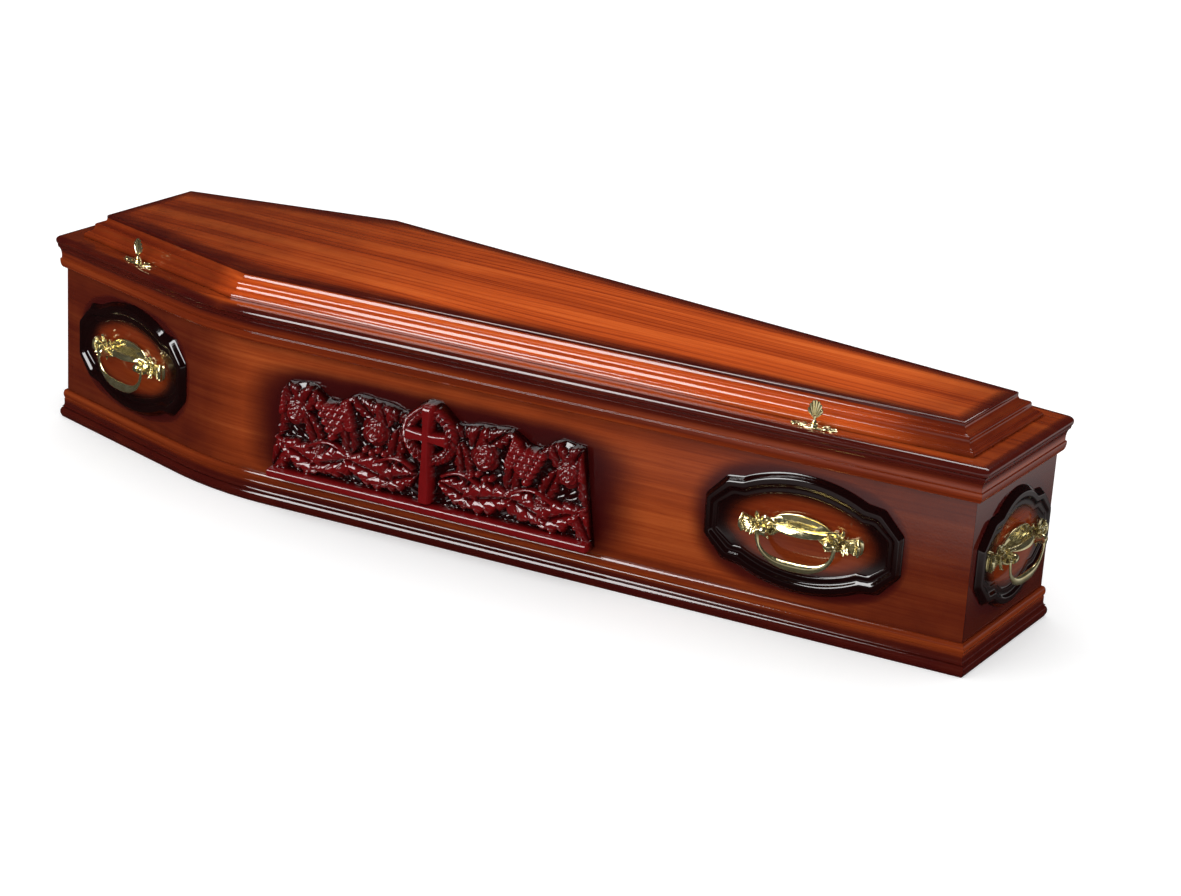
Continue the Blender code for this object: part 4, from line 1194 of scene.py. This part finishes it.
def rod_mesh(points, end, middle, width=1.0, depth=1.0, sides=12):
    return grow(path_curve(points), ROD, **{
        "End Thickness": end, "Middle Thickness": middle, "Width Share": width, "Depth Share": depth,
        "Sides": sides, "Material": brass})


trial = rod_mesh([(0, 0, 0), (1, 0, 0)], 0.1, 0.1, 1.0, 0.5)
print("trial rod reaches", *reach_of(trial))
bpy.data.meshes.remove(trial)

# %% [markdown]
# The row is the second rule. Pearls along the fans and round the pivots are one small ball, repeated
# at equal steps along a curve and turned with it. The index of each step sets its size.

# %% Row tree
def row_rule():
    """Path in, a row of one shape out, each facing along the path, growing from first to last."""
    rule = Growth("row_along_path")
    points = rule.entry.outputs["Geometry"]
    line = rule.group.nodes.new("GeometryNodeCurveToPoints")
    line.mode = "COUNT"
    rule.group.links.new(points, line.inputs["Curve"])
    rule.group.links.new(rule.given("Count", "Int"), line.inputs["Count"])
    order = rule.node("GeometryNodeInputIndex")
    steps = rule.node("ShaderNodeMath", {"operation": "SUBTRACT"}, {0: rule.given("Count", "Int"), 1: 1.0})
    size = rule.node("ShaderNodeMapRange", {}, {
        "Value": order, "From Min": 0.0, "From Max": steps,
        "To Min": rule.given("First Size"), "To Max": rule.given("Last Size")})
    shape = rule.node("GeometryNodeObjectInfo", {}, {"Object": rule.given("Shape", "Object")}, "Geometry")
    row = rule.node("GeometryNodeInstanceOnPoints", {}, {
        "Points": line.outputs["Points"], "Instance": shape,
        "Rotation": line.outputs["Rotation"], "Scale": size})
    return rule.close(row)


ROW = row_rule()


def row_mesh(points, shape, count, first=1.0, last=1.0):
    """Repeat a mesh along a path; the shape's own Z follows the path."""
    sample = bpy.data.objects.new("sample", shape)
    bpy.context.scene.collection.objects.link(sample)
    mesh = grow(path_curve(points), ROW, **{
        "Count": count, "First Size": first, "Last Size": last, "Shape": sample, "Material": brass})
    bpy.data.objects.remove(sample, do_unlink=True)
    return mesh


print("rules:", ROD.group.name, "and", ROW.group.name)

# %% [markdown]
# ## Shapes for castings
#
# Leaves, palmettes and ribs are closed bodies between a front sheet and a back sheet of points. The
# sheet is easy to think about: one direction runs from root to tip, the other from side to side.

# %% Sheet bodies
def sheet_mesh(name, front, back, smooth_angle=50):
    """A closed body between two grids of points."""
    rows, columns = len(front), len(front[0])
    points = [p for line in front for p in line] + [p for line in back for p in line]
    behind = rows * columns
    faces = []
    for r in range(rows - 1):
        for c in range(columns - 1):
            i = r * columns + c
            faces.append((i, i + columns, i + columns + 1, i + 1))
            faces.append((behind + i, behind + i + 1, behind + i + columns + 1, behind + i + columns))
    rim = [(r, 0) for r in range(rows)] + [(rows - 1, c) for c in range(1, columns)]
    rim += [(r, columns - 1) for r in range(rows - 2, -1, -1)] + [(0, c) for c in range(columns - 2, 0, -1)]
    for (a, b), (c, d) in zip(rim, rim[1:] + rim[:1]):
        i, j = a * columns + b, c * columns + d
        faces.append((j, i, behind + i, behind + j))
    return outward_mesh(mesh_from(name, points, faces, None, smooth_angle))


def leaf_shape(length, width, curl=0.2, lobes=3, thick=0.0022):
    """A carved leaf lying in XY, root at the origin, tip towards +X, curling up to +Z."""
    front, back = [], []
    for step in range(15):
        t = step / 14
        body = math.sin(math.pi * (0.06 + 0.92 * t)) ** 0.75 * (1.15 - 0.3 * t)
        half = width / 2 * body * (1 - 0.26 * abs(math.sin(math.pi * lobes * t)) ** 3)
        lift = length * curl * t * t
        line, under = [], []
        for side in np.linspace(-1, 1, 9):
            rib = 0.35 + 0.65 * math.cos(side * math.pi / 2) ** 0.5 - 0.45 * math.exp(-(side / 0.16) ** 2)
            line.append((length * t - abs(side) * half * 0.25, half * side, lift + thick * rib))
            under.append((length * t - abs(side) * half * 0.25, half * side, lift - thick * 0.3))
        front.append(line)
        back.append(under)
    return sheet_mesh("leaf", front, back)


print("sheet bodies ready")

# %% [markdown]
# A casting is many closed shapes in one mesh. Each shape is made once at the origin and given a
# place, and a mirrored copy of every place fills the other half. A mirrored shape is turned back
# right side out.

# %% Placing and joining
def joined(name, parts, smooth_angle=45):
    """Several closed shapes, each moved to its place, as the one casting they are."""
    bm = bmesh.new()
    for shape, place in parts:
        copy = shape.copy()
        copy.transform(place)
        if place.determinant() < 0:
            copy.flip_normals()
        bm.from_mesh(copy)
        bpy.data.meshes.remove(copy)
    mesh = bpy.data.meshes.new(name)
    bm.to_mesh(mesh)
    bm.free()
    mesh.shade_smooth()
    mesh.set_sharp_from_angle(angle=math.radians(smooth_angle))
    return mesh


def placed(x, y, z, turn_degrees=0.0, tip_degrees=0.0, size=1.0):
    """Moved to a spot, turned in the plane, and tipped up about the shape's own side axis."""
    turned = Matrix.Rotation(math.radians(turn_degrees), 4, "Z")
    tipped = Matrix.Rotation(math.radians(-tip_degrees), 4, "Y")
    return Matrix.Translation((x, y, z)) @ (turned @ tipped) @ Matrix.Scale(size, 4)


def mirrored(parts):
    flip = Matrix.Scale(-1, 4, (1, 0, 0))
    return parts + [(shape, flip @ place) for shape, place in parts]


def pearl_shape(radius):
    turns = np.radians(np.arange(0, 360, 40))
    rings = []
    for tilt in (-89, -50, -15, 15, 50, 89):
        width, height = math.cos(math.radians(tilt)) * radius, math.sin(math.radians(tilt)) * radius
        rings.append([(width * math.cos(a), width * math.sin(a), height) for a in turns])
    return rings_mesh("pearl", rings, smooth_angle=180)


def smooth_line(points, steps=8, closed=False):
    """A Catmull-Rom curve through the points."""
    known = [np.array(p, float) for p in points]
    if closed:
        known = [known[-1]] + known + known[:2]
    else:
        known = [2 * known[0] - known[1]] + known + [2 * known[-1] - known[-2]]
    line = []
    for a, b, c, d in zip(known, known[1:], known[2:], known[3:]):
        for t in np.arange(steps) / steps:
            line.append(0.5 * (2 * b + (c - a) * t + (2 * a - 5 * b + 4 * c - d) * t ** 2
                               + (3 * b - a - 3 * c + d) * t ** 3))
    return line if closed else line + [known[-2]]


print("casting shapes ready")

# %% [markdown]
# ## The handle
#
# Each handle is one casting that carries a swing bail. Between the two pivots lies a boat-shaped
# dish, bright along both rims and dark inside. Leaves, pearls and a small scroll crowd round each
# pivot, a bud stands on top, and a flared fan with a rolled rim ends the plate on either side.

# %% Handle sizes and back plate
HANDLE_WIDTH, PLATE_THICKNESS, PIVOT_OUT = 0.220, 0.004, 0.026
FAN_HEIGHT, DISH_HEIGHT, DISH_DEPTH = 0.034, 0.030, 0.024
BAIL_WIDTH, BAIL_ROD, POST_WIDTH, POST_RADIUS = 0.146, 0.0040, 0.012, 0.008
post_outer = BAIL_WIDTH / 2 - 2 * BAIL_ROD - 0.001


def back_plate():
    half, tall = HANDLE_WIDTH / 2, FAN_HEIGHT / 2
    right = [(half * 0.30, DISH_HEIGHT * 0.03), (half * 0.48, -tall * 0.78), (half * 0.62, -tall * 0.78),
             (half * 0.72, -tall * 0.50), (half * 0.985, -tall * 0.80), (half * 0.985, tall * 0.80),
             (half * 0.72, tall * 0.50), (half * 0.62, tall * 1.10), (half * 0.50, tall * 1.00),
             (half * 0.34, DISH_HEIGHT * 0.84)]
    left = [(-x, y) for x, y in right[::-1]]
    whole = [(0.0, DISH_HEIGHT * 0.13)] + right + [(0.0, DISH_HEIGHT * 0.98)] + left
    line = smooth_line(whole, 5, closed=True)
    middle = np.mean(line, 0)
    rings = []
    for size, height in ((1.0, 0.0), (1.0, 0.45), (0.985, 0.8), (0.955, 1.0)):
        rings.append([(*(middle + (p - middle) * size), PLATE_THICKNESS * height) for p in line])
    return rings_mesh("back_plate", rings, smooth_angle=40)


print("posts end", round(post_outer, 4), "from the middle")

# %% [markdown]
# The dish is the part that the eye goes to. A section is drawn at each station along the boat, and
# its hollow has an upright wall with a tight bend at the foot, because a soft bend reads as a bulge.

# %% Dish
def dish():
    """Stations along a boat: back rim, hollow, thick front rim and keel."""
    half, foot = HANDLE_WIDTH * 0.245, PLATE_THICKNESS / 2
    rings = []
    for share in np.sin(np.linspace(-1, 1, 31) * math.pi / 2) * 0.993:
        swell = math.sqrt(1.0 - share * share)
        x = half * share
        low, back_top = DISH_HEIGHT * (0.27 - 0.20 * swell), DISH_HEIGHT * (0.40 + 0.74 * swell)
        rim = np.array([DISH_HEIGHT * (0.36 + 0.03 * swell), DISH_DEPTH * (0.21 + 0.72 * swell)])
        bead, band = 0.0007 + 0.0009 * swell, 0.0010 + 0.0092 * swell
        back = [(low, foot), (back_top - bead, foot)]
        back += arc((back_top - bead, foot + bead * 1.2), bead, bead * 1.2, -70, 120, 6)
        floor_line = low + 0.0030 + 0.0002 * swell
        start = np.array([back_top - bead * 2.2, foot + bead * 1.5])
        end = rim + np.array([-bead, -bead * 1.6])
        corner = np.array([floor_line - 0.002, foot + bead * 1.2])
        bend_start = corner + np.array([0.0035 * swell, 0.0])
        bend_end = corner + np.array([0.0012, 0.0030]) * swell
        hollow = [tuple(start + (bend_start - start) * t) for t in (0.0, 0.3, 0.6, 0.85)]
        hollow += [tuple((1 - t) ** 2 * bend_start + 2 * t * (1 - t) * corner + t * t * bend_end)
                   for t in (0.0, 0.2, 0.4, 0.6, 0.8, 1.0)]
        hollow += [tuple(bend_end + (end - bend_end) * t) for t in (0.5, 1.0)]
        front = arc(tuple(rim + np.array([-bead * 0.6, -bead * 0.6])), bead, bead, -60, 65, 6)
        upper = np.array(front[-1])
        lower = upper + band * np.array([-0.89, 0.42])
        for t in (0.25, 0.5, 0.75, 1.0):
            bulge = np.array([0.0, 0.0009 * swell * math.sin(math.pi * t)])
            front.append(tuple(upper * (1 - t) + lower * t + bulge))
        keel = [(lower[0] - 0.0016 * swell - 0.0004, lower[1] - 0.0028 * swell - 0.0004),
                (low - 0.0006 * swell, foot + PLATE_THICKNESS * 0.5 + DISH_DEPTH * 0.30 * swell)]
        rings.append([(x, y, z) for y, z in back + hollow + front + keel])
    return rings_mesh("dish", rings, smooth_angle=55)


print("dish ready")

# %% [markdown]
# Beyond each pivot the plate flares into a ribbed fan. The pivot itself is a round-nosed post, and a
# scroll is only a rod on a spiral path.

# %% Fan, post and scroll
def fan():
    """The flared end: rounded ribs that spread from the pivot, then a rolled rim."""
    inner, outer = BAIL_WIDTH / 2 + BAIL_ROD + 0.0003, HANDLE_WIDTH / 2 - 0.0028
    front, back = [], []
    for t in np.linspace(0, 1, 9):
        x, half = inner + (outer - inner) * t, FAN_HEIGHT * (0.23 + 0.23 * t ** 1.4)
        arch = PLATE_THICKNESS * (2.3 - 0.75 * t + 0.55 * math.sin(math.pi * t))
        line, under = [], []
        for side in np.linspace(-1, 1, 37):
            rib = abs(math.cos(side * math.pi * 3.0)) ** 0.7
            height = arch * (1 - 0.25 * side ** 2)
            line.append((x - 0.002 * side ** 2 * t, half * side, height + 0.0016 * rib))
            under.append((x - 0.002 * side ** 2 * t, half * side, 0.001))
        front.append(line)
        back.append(under)
    return sheet_mesh("fan", front, back, 70)


def post():
    nose = arc((0.0, PIVOT_OUT), POST_RADIUS, POST_RADIUS, 0, 180, 14)
    profile = [(POST_RADIUS * 1.25, 0.001)] + nose + [(-POST_RADIUS * 1.25, 0.001)]
    inner, bevel = post_outer - POST_WIDTH, 0.0012
    steps = [(inner, 0.86), (inner + bevel, 1.0), (post_outer - bevel, 1.0), (post_outer, 0.86)]
    rings = [[(x, y * size, PIVOT_OUT + (z - PIVOT_OUT) * (size if z > PIVOT_OUT else 1)) for y, z in profile]
             for x, size in steps]
    return rings_mesh("post", rings, smooth_angle=50)


def scroll(centre, radius, height, start_degrees, way=1):
    line = []
    for t in np.linspace(0, 1, 26):
        angle = math.radians(start_degrees) + way * t * 3.4 * math.pi
        reach = radius * (1 - 0.85 * t)
        x, y = centre[0] + reach * math.cos(angle), centre[1] + reach * math.sin(angle)
        line.append((x, y, height + 0.0012 * t))
    return rod_mesh(line, 0.0012, 0.0015, sides=8)


print("fan reaches", round(HANDLE_WIDTH / 2 - 0.0028, 4), "from the middle")

# %% [markdown]
# Now the casting is put together. Only one half is listed: each leaf, bud, scroll and row of pearls
# with its spot, its turn and its tip, and `mirrored` adds the other half.

# %% Handle plate
def handle_plate():
    still = Matrix()
    long_leaf, broad_leaf = leaf_shape(0.024, 0.011, 0.22), leaf_shape(0.015, 0.011, 0.35, 2)
    bud = leaf_shape(0.0125, 0.0085, 0.10, 1, 0.0030)
    pearl = pearl_shape(0.0021)
    one_side = [
        (fan(), still), (post(), still),
        (scroll((0.0600, -0.0085), 0.0050, 0.0120, 80, -1), still),
        (scroll((0.0470, -0.0060), 0.0038, 0.0085, 40, 1), still),
        (long_leaf, placed(0.0720, 0.0040, 0.0120, 148, 4)),
        (long_leaf, placed(0.0690, 0.0005, 0.0150, 168, 2, 0.9)),
        (long_leaf, placed(0.0720, -0.0040, 0.0110, 205, 4)),
        (broad_leaf, placed(0.0780, 0.0030, 0.0105, 62, 14)),
        (broad_leaf, placed(0.0780, -0.0030, 0.0105, -62, 14)),
        (broad_leaf, placed(0.0800, 0.0045, 0.0110, 28, 8)),
        (broad_leaf, placed(0.0800, -0.0045, 0.0110, -28, 8)),
        (broad_leaf, placed(0.0620, 0.0060, 0.0160, 112, 24)),
        (bud, placed(0.0770, 0.0150, 0.0090, 84, 4)), (bud, placed(0.0700, 0.0125, 0.0100, 118, 6, 0.8)),
        (pearl, placed(0.0770, 0.0135, 0.0105, size=1.3)),
    ]
    rim = smooth_line([(0.1010, -0.0150, 0.0075), (0.1062, -0.0080, 0.0105), (0.1068, 0.0, 0.0112),
                       (0.1062, 0.0080, 0.0105), (0.1010, 0.0150, 0.0075)])
    rim = [(x if abs(y) < 0.012 else x + (0.1062 - x) * 0.7, y, z) for x, y, z in rim]
    one_side.append((rod_mesh(rim, 0.0024, 0.0036, sides=10), still))
    pearls = smooth_line([(0.0990, -0.0120, 0.0100), (0.1018, 0.0, 0.0128), (0.0990, 0.0120, 0.0100)])
    one_side.append((row_mesh(pearls, pearl, 7, 0.75, 0.75), still))
    cluster = smooth_line([(0.0660, -0.0135, 0.0080), (0.0745, -0.0100, 0.0115), (0.0830, -0.0020, 0.0140),
                           (0.0850, 0.0060, 0.0130)])
    one_side.append((row_mesh(cluster, pearl, 8, 0.9, 1.15), still))
    keel = smooth_line([(0.0230, 0.0045, 0.0110), (0.0360, -0.0005, 0.0100), (0.0480, -0.0085, 0.0085),
                        (0.0620, -0.0128, 0.0080), (0.0740, -0.0110, 0.0090)])
    one_side.append((rod_mesh(keel, 0.0013, 0.0020, sides=8), still))
    return joined("handle_plate", mirrored(one_side) + [(back_plate(), still), (dish(), still)])


plate_shape = handle_plate()
print("handle plate", len(plate_shape.polygons), "faces, reaching", *reach_of(plate_shape))

# %% [markdown]
# The bail is a band bent into a wide U, more than twice as wide at the grip as at the pins, and
# flattened to about half of that width in depth. The rod rule makes it from its path. It hangs from
# two pins, so it rides on its own moving body.

# %% Bails and plates in place
BAIL_DROP, GRIP_HALF_WIDTH, GRIP_SHARE, PIN_RADIUS, PIN_DEPTH = 0.060, 0.0090, 0.56, 0.0030, 0.007


def bail_shape():
    half, corner, drop = BAIL_WIDTH / 2 - BAIL_ROD, BAIL_ROD * 1.2, BAIL_DROP - GRIP_HALF_WIDTH
    line = []
    for t in np.linspace(0, 1, 49):
        angle = math.pi * t
        x = -half * math.copysign(abs(math.cos(angle)) ** 0.75, math.cos(angle))
        line.append((x, -corner - (drop - corner) * math.sin(angle) ** 0.92, 0.0))
    turn_in = [(-half + corner * 1.5, 0.0, 0.0), (-half + corner * 0.55, -corner * 0.06, 0.0),
               (-half + corner * 0.12, -corner * 0.42, 0.0)]
    path = turn_in + line + [(-x, y, z) for x, y, z in turn_in[::-1]]
    band = rod_mesh(path, BAIL_ROD * 0.9, GRIP_HALF_WIDTH, 1.0, GRIP_SHARE, 20)
    pin_end = post_outer - PIN_DEPTH
    pin = [(pin_end, 0.0, 0.0), (half - corner * 0.5, 0.0, 0.0)]
    knob = pearl_shape(BAIL_ROD * 0.98)
    parts = [(rod_mesh(pin, PIN_RADIUS * 0.95, PIN_RADIUS * 0.95), Matrix()),
             (knob, Matrix.Translation((half, -0.0004, 0)))]
    return joined("bail", mirrored(parts) + [(band, Matrix())])


bail_form = bail_shape()
print("bail reaches", *reach_of(bail_form))
HANDLE_CENTRE, HANDLE_OUT = PLAQUE_CENTRE + 0.003, PLAQUE_FIELD + 2 * GAP
for name, (edge, distance, width) in PLAQUES.items():
    plate = plate_shape.copy()
    plate.transform(wall_frame(edge, distance, HANDLE_CENTRE, HANDLE_OUT))
    new_piece("handle_plate_" + name + "_fine", plate, brass,
              stands_for=("handle_plate_" + name,))
    bail = bail_form.copy()
    bail.transform(wall_frame(edge, distance, HANDLE_CENTRE, HANDLE_OUT + PIVOT_OUT))
    new_piece("handle_bail_" + name + "_fine", bail, brass, "bail_" + name,
              ("handle_bail_" + name,))
print("handles:", len(PLAQUES))

# %% [markdown]
# ## The lid screws
#
# Two thumb screws on the left hold the lid down over the side board. A long leafy plate lies on the
# board, with a round boss in its middle, and the screw stands on it with a ribbed palmette to turn
# it by.

# %% Lid screws
SCREW_PLATE_LENGTH, SCREW_PLATE_WIDTH, SCREW_PLATE_THICK = 0.084, 0.022, 0.004
SCREW_HEAD_WIDTH, SCREW_HEAD_THICK = 0.029, 0.005
SCREW_SHANK, SCREW_LENGTH, SCREW_BOSS = 0.0025, 0.045, 0.0076


def lathe(profile, sides=24):
    turns = np.linspace(0, 2 * math.pi, sides, endpoint=False)
    rings = [[(r * math.cos(a), r * math.sin(a), z) for a in turns] for r, z in profile]
    return rings_mesh("lathe", rings, smooth_angle=40)


def screw_plate():
    half_length, half_width = SCREW_PLATE_LENGTH / 2, SCREW_PLATE_WIDTH / 2
    quarter = [(0.985, 0.22), (0.84, 0.66), (0.60, 0.50), (0.36, 0.84), (0.16, 0.97)]
    upper = [(half_length * x, half_width * y) for x, y in quarter]
    upper += [(-x, y) for x, y in reversed(upper)]
    line = smooth_line(upper + [(-x, -y) for x, y in upper], 5, closed=True)
    rings = [[(*(p * size), SCREW_PLATE_THICK * high) for p in line]
             for size, high in ((1.0, 0.0), (1.0, 0.25), (0.96, 0.45), (0.84, 0.55))]
    leaf, small = leaf_shape(0.021, 0.0150, 0.02, 3, 0.0021), leaf_shape(0.013, 0.0100, 0.05, 2, 0.0018)
    arm = [(leaf, placed(0.0190, 0.0, 0.0015)), (small, placed(0.0140, 0.0035, 0.0015, 30)),
           (small, placed(0.0140, -0.0035, 0.0015, -30)), (pearl_shape(0.0016), placed(0.0395, 0.0, 0.0021))]
    boss = [(SCREW_PLATE_WIDTH * 0.36, 0.001), (SCREW_PLATE_WIDTH * 0.36, SCREW_BOSS * 0.30),
            (SCREW_PLATE_WIDTH * 0.31, SCREW_BOSS * 0.48), (SCREW_PLATE_WIDTH * 0.33, SCREW_BOSS * 0.66),
            (SCREW_PLATE_WIDTH * 0.30, SCREW_BOSS * 0.86), (SCREW_PLATE_WIDTH * 0.22, SCREW_BOSS * 0.99)]
    return joined("screw_plate", mirrored(arm) + [(rings_mesh("plate", rings, smooth_angle=40), Matrix()),
                                                  (lathe(boss), Matrix())])


def palmette():
    """A fan of seven rounded lobes on a short neck; the ribs run from the neck to each lobe."""
    front, back = [], []
    seat = SCREW_BOSS + GAP
    for t in np.linspace(0, 1, 13):
        line, under = [], []
        for angle in np.linspace(-1, 1, 57):
            lobe = abs(math.cos(angle * math.pi * 3.5)) ** 0.6
            reach = (0.0062 + 0.0220 * t) * (1 - 0.16 * angle ** 2) * (1 - 0.10 * (1 - lobe) * t)
            turn_out = math.radians(66) * angle
            x = reach * math.sin(turn_out) * (SCREW_HEAD_WIDTH / 0.0455)
            z = seat + 0.0064 + reach * math.cos(turn_out) * 1.17
            swell = SCREW_HEAD_THICK / 2 * (0.50 + 0.42 * lobe) * (1 - 0.35 * t ** 3)
            line.append((x, swell, z))
            under.append((x, -swell, z))
        front.append(line)
        back.append(under)
    return sheet_mesh("palmette", front, back, 60)


def thumb_screw():
    seat = SCREW_BOSS + GAP
    neck = [(SCREW_SHANK, seat - SCREW_LENGTH), (SCREW_SHANK, seat), (0.0042, seat + 0.0004),
            (0.0050, seat + 0.0020), (0.0034, seat + 0.0038), (0.0027, seat + 0.0060),
            (0.0036, seat + 0.0085), (0.0030, seat + 0.0120)]
    return joined("thumb_screw", [(lathe(neck), Matrix()), (palmette(), Matrix())])


plate_form, screw_form = screw_plate(), thumb_screw()
for name in ("left_head", "left_foot"):
    edge, distance, _ = PLAQUES[name]
    side, facing = along(edge), outward(edge)
    spot = CORNERS[edge] + side * distance - facing * WALL / 2
    stand = frame_from(((*-side, 0), (*facing, 0), (0, 0, 1), (*spot, moulding_base)))
    for kind, form in (("lid_screw_plate_", plate_form), ("lid_screw_", screw_form)):
        mesh = form.copy()
        mesh.transform(stand)
        new_piece(kind + name + "_fine", mesh, brass, stands_for=(kind + name,))
print("lid screws: 2")

# %% [markdown]
# ## Light
#
# A lacquered surface is a mirror at four per cent, so the room matters more than the lamp. The world
# is white to the camera, pale for diffuse light and dark in reflections. One tall softbox to the left
# draws the white streaks along the mouldings. A fainter one gives the shapes their shading, and one
# high behind the far side keeps the brass alive there.

# %% Floor
floor_mesh = mesh_from("floor", [(-12, -12, 0), (12, -12, 0), (12, 12, 0), (-12, 12, 0)], [(0, 1, 2, 3)])
floor = bpy.data.objects.new("floor", floor_mesh)
bpy.context.scene.collection.objects.link(floor)
paper = Finish("studio_floor", 0.9, specular=0.0, viewport=(0.9, 0.9, 0.9))
seen = paper.node("ShaderNodeLightPath", output="Is Glossy Ray")
speckle = paper.noise(paper.place(), scale=3.0, detail=2.0)
pale = paper.blend(speckle, (0.90, 0.90, 0.90), (0.93, 0.93, 0.93))
# Painted shadow and light for reflections: the floor as mirrored in the lacquer is dark near the coffin and
# towards its head, standing in for its shadow, and bright further out in front and beyond the foot, which
# paints the sheen on the side and the foot end.
spot_x = paper.dot(paper.place(), (1.0, 0.0, 0.0))
in_front = paper.smooth(paper.dot(paper.place(), (0.0, -1.0, 0.0)), 0.50, 1.15)
painted_floor_light = (paper.smooth(spot_x, -0.3, 1.1) * in_front).most(paper.smooth(spot_x, 1.0, 1.5, 0.0, 0.60))
painted_mirrored_floor = paper.blend(painted_floor_light, (0.022, 0.021, 0.020), (0.95, 0.93, 0.92))
paper.feed("Base Color", paper.blend(seen, pale, painted_mirrored_floor))
in_view = paper.node("ShaderNodeLightPath", output="Is Camera Ray")
paper.feed("Emission Color", paper.blend(in_view, (0.0, 0.0, 0.0), (0.27, 0.27, 0.27)))
paper.shader.inputs["Emission Strength"].default_value = 1.0
floor_mesh.materials.append(paper.material)
print("floor is stage, not part of the coffin")

# %% [markdown]
# The world is white, with one strength for what lights the coffin and a far lower one for what it
# mirrors, so that the lacquer stays deep between the softboxes' streaks.

# %% World
world = bpy.data.worlds.new("studio")
bpy.context.scene.world = world
world.use_nodes = True
sky = world.node_tree
background = sky.nodes["Background"]
rays = sky.nodes.new("ShaderNodeLightPath")
shade = sky.nodes.new("ShaderNodeMix")
shade.data_type = "FLOAT"
WORLD_LIGHT, WORLD_MIRRORED = 1.0, 0.014
shade.inputs[2].default_value, shade.inputs[3].default_value = WORLD_LIGHT, WORLD_MIRRORED
sky.links.new(rays.outputs["Is Glossy Ray"], shade.inputs[0])
sky.links.new(shade.outputs[0], background.inputs["Strength"])
background.inputs["Color"].default_value = (1.0, 1.0, 1.0, 1.0)
bpy.context.scene.view_settings.view_transform = "Standard"
print("world:", WORLD_LIGHT, "as light and", WORLD_MIRRORED, "in reflections")

# %% [markdown]
# A softbox is an area lamp that is given by its radiance, so that its size can change without its
# streak getting brighter. Each one works on reflections or on shading, and not on both.

# %% Softboxes
def softbox(name, place, target, width, height, radiance, glossy=True, diffuse=True):
    lamp = bpy.data.lights.new(name, "AREA")
    lamp.shape, lamp.size, lamp.size_y = "RECTANGLE", width, height
    lamp.energy = radiance * math.pi * width * height
    holder = bpy.data.objects.new(name, lamp)
    facing = Vector(target) - Vector(place)
    holder.matrix_world = Matrix.Translation(place) @ facing.to_track_quat("-Z", "Y").to_matrix().to_4x4()
    holder.visible_glossy, holder.visible_diffuse = glossy, diffuse
    holder.visible_camera = False
    bpy.context.scene.collection.objects.link(holder)
    return holder


softbox("streaks", (-1.15, -2.4, 2.05), (-0.2, 0.0, 0.35), 1.7, 2.7, 14.0, diffuse=False)
softbox("shaping", (-0.6, -2.8, 2.6), (0.0, 0.0, 0.3), 2.4, 2.0, 0.9, glossy=False)
softbox("far_side", (0.5, 2.3, 2.8), (0.2, 0.0, 0.2), 2.4, 1.4, 5.0, diffuse=False)

# %% [markdown]
# ## The end
#
# The dressed coffin must not outgrow its solids. At the end the scene is brought up to date.

# %% The end
bpy.context.view_layer.update()
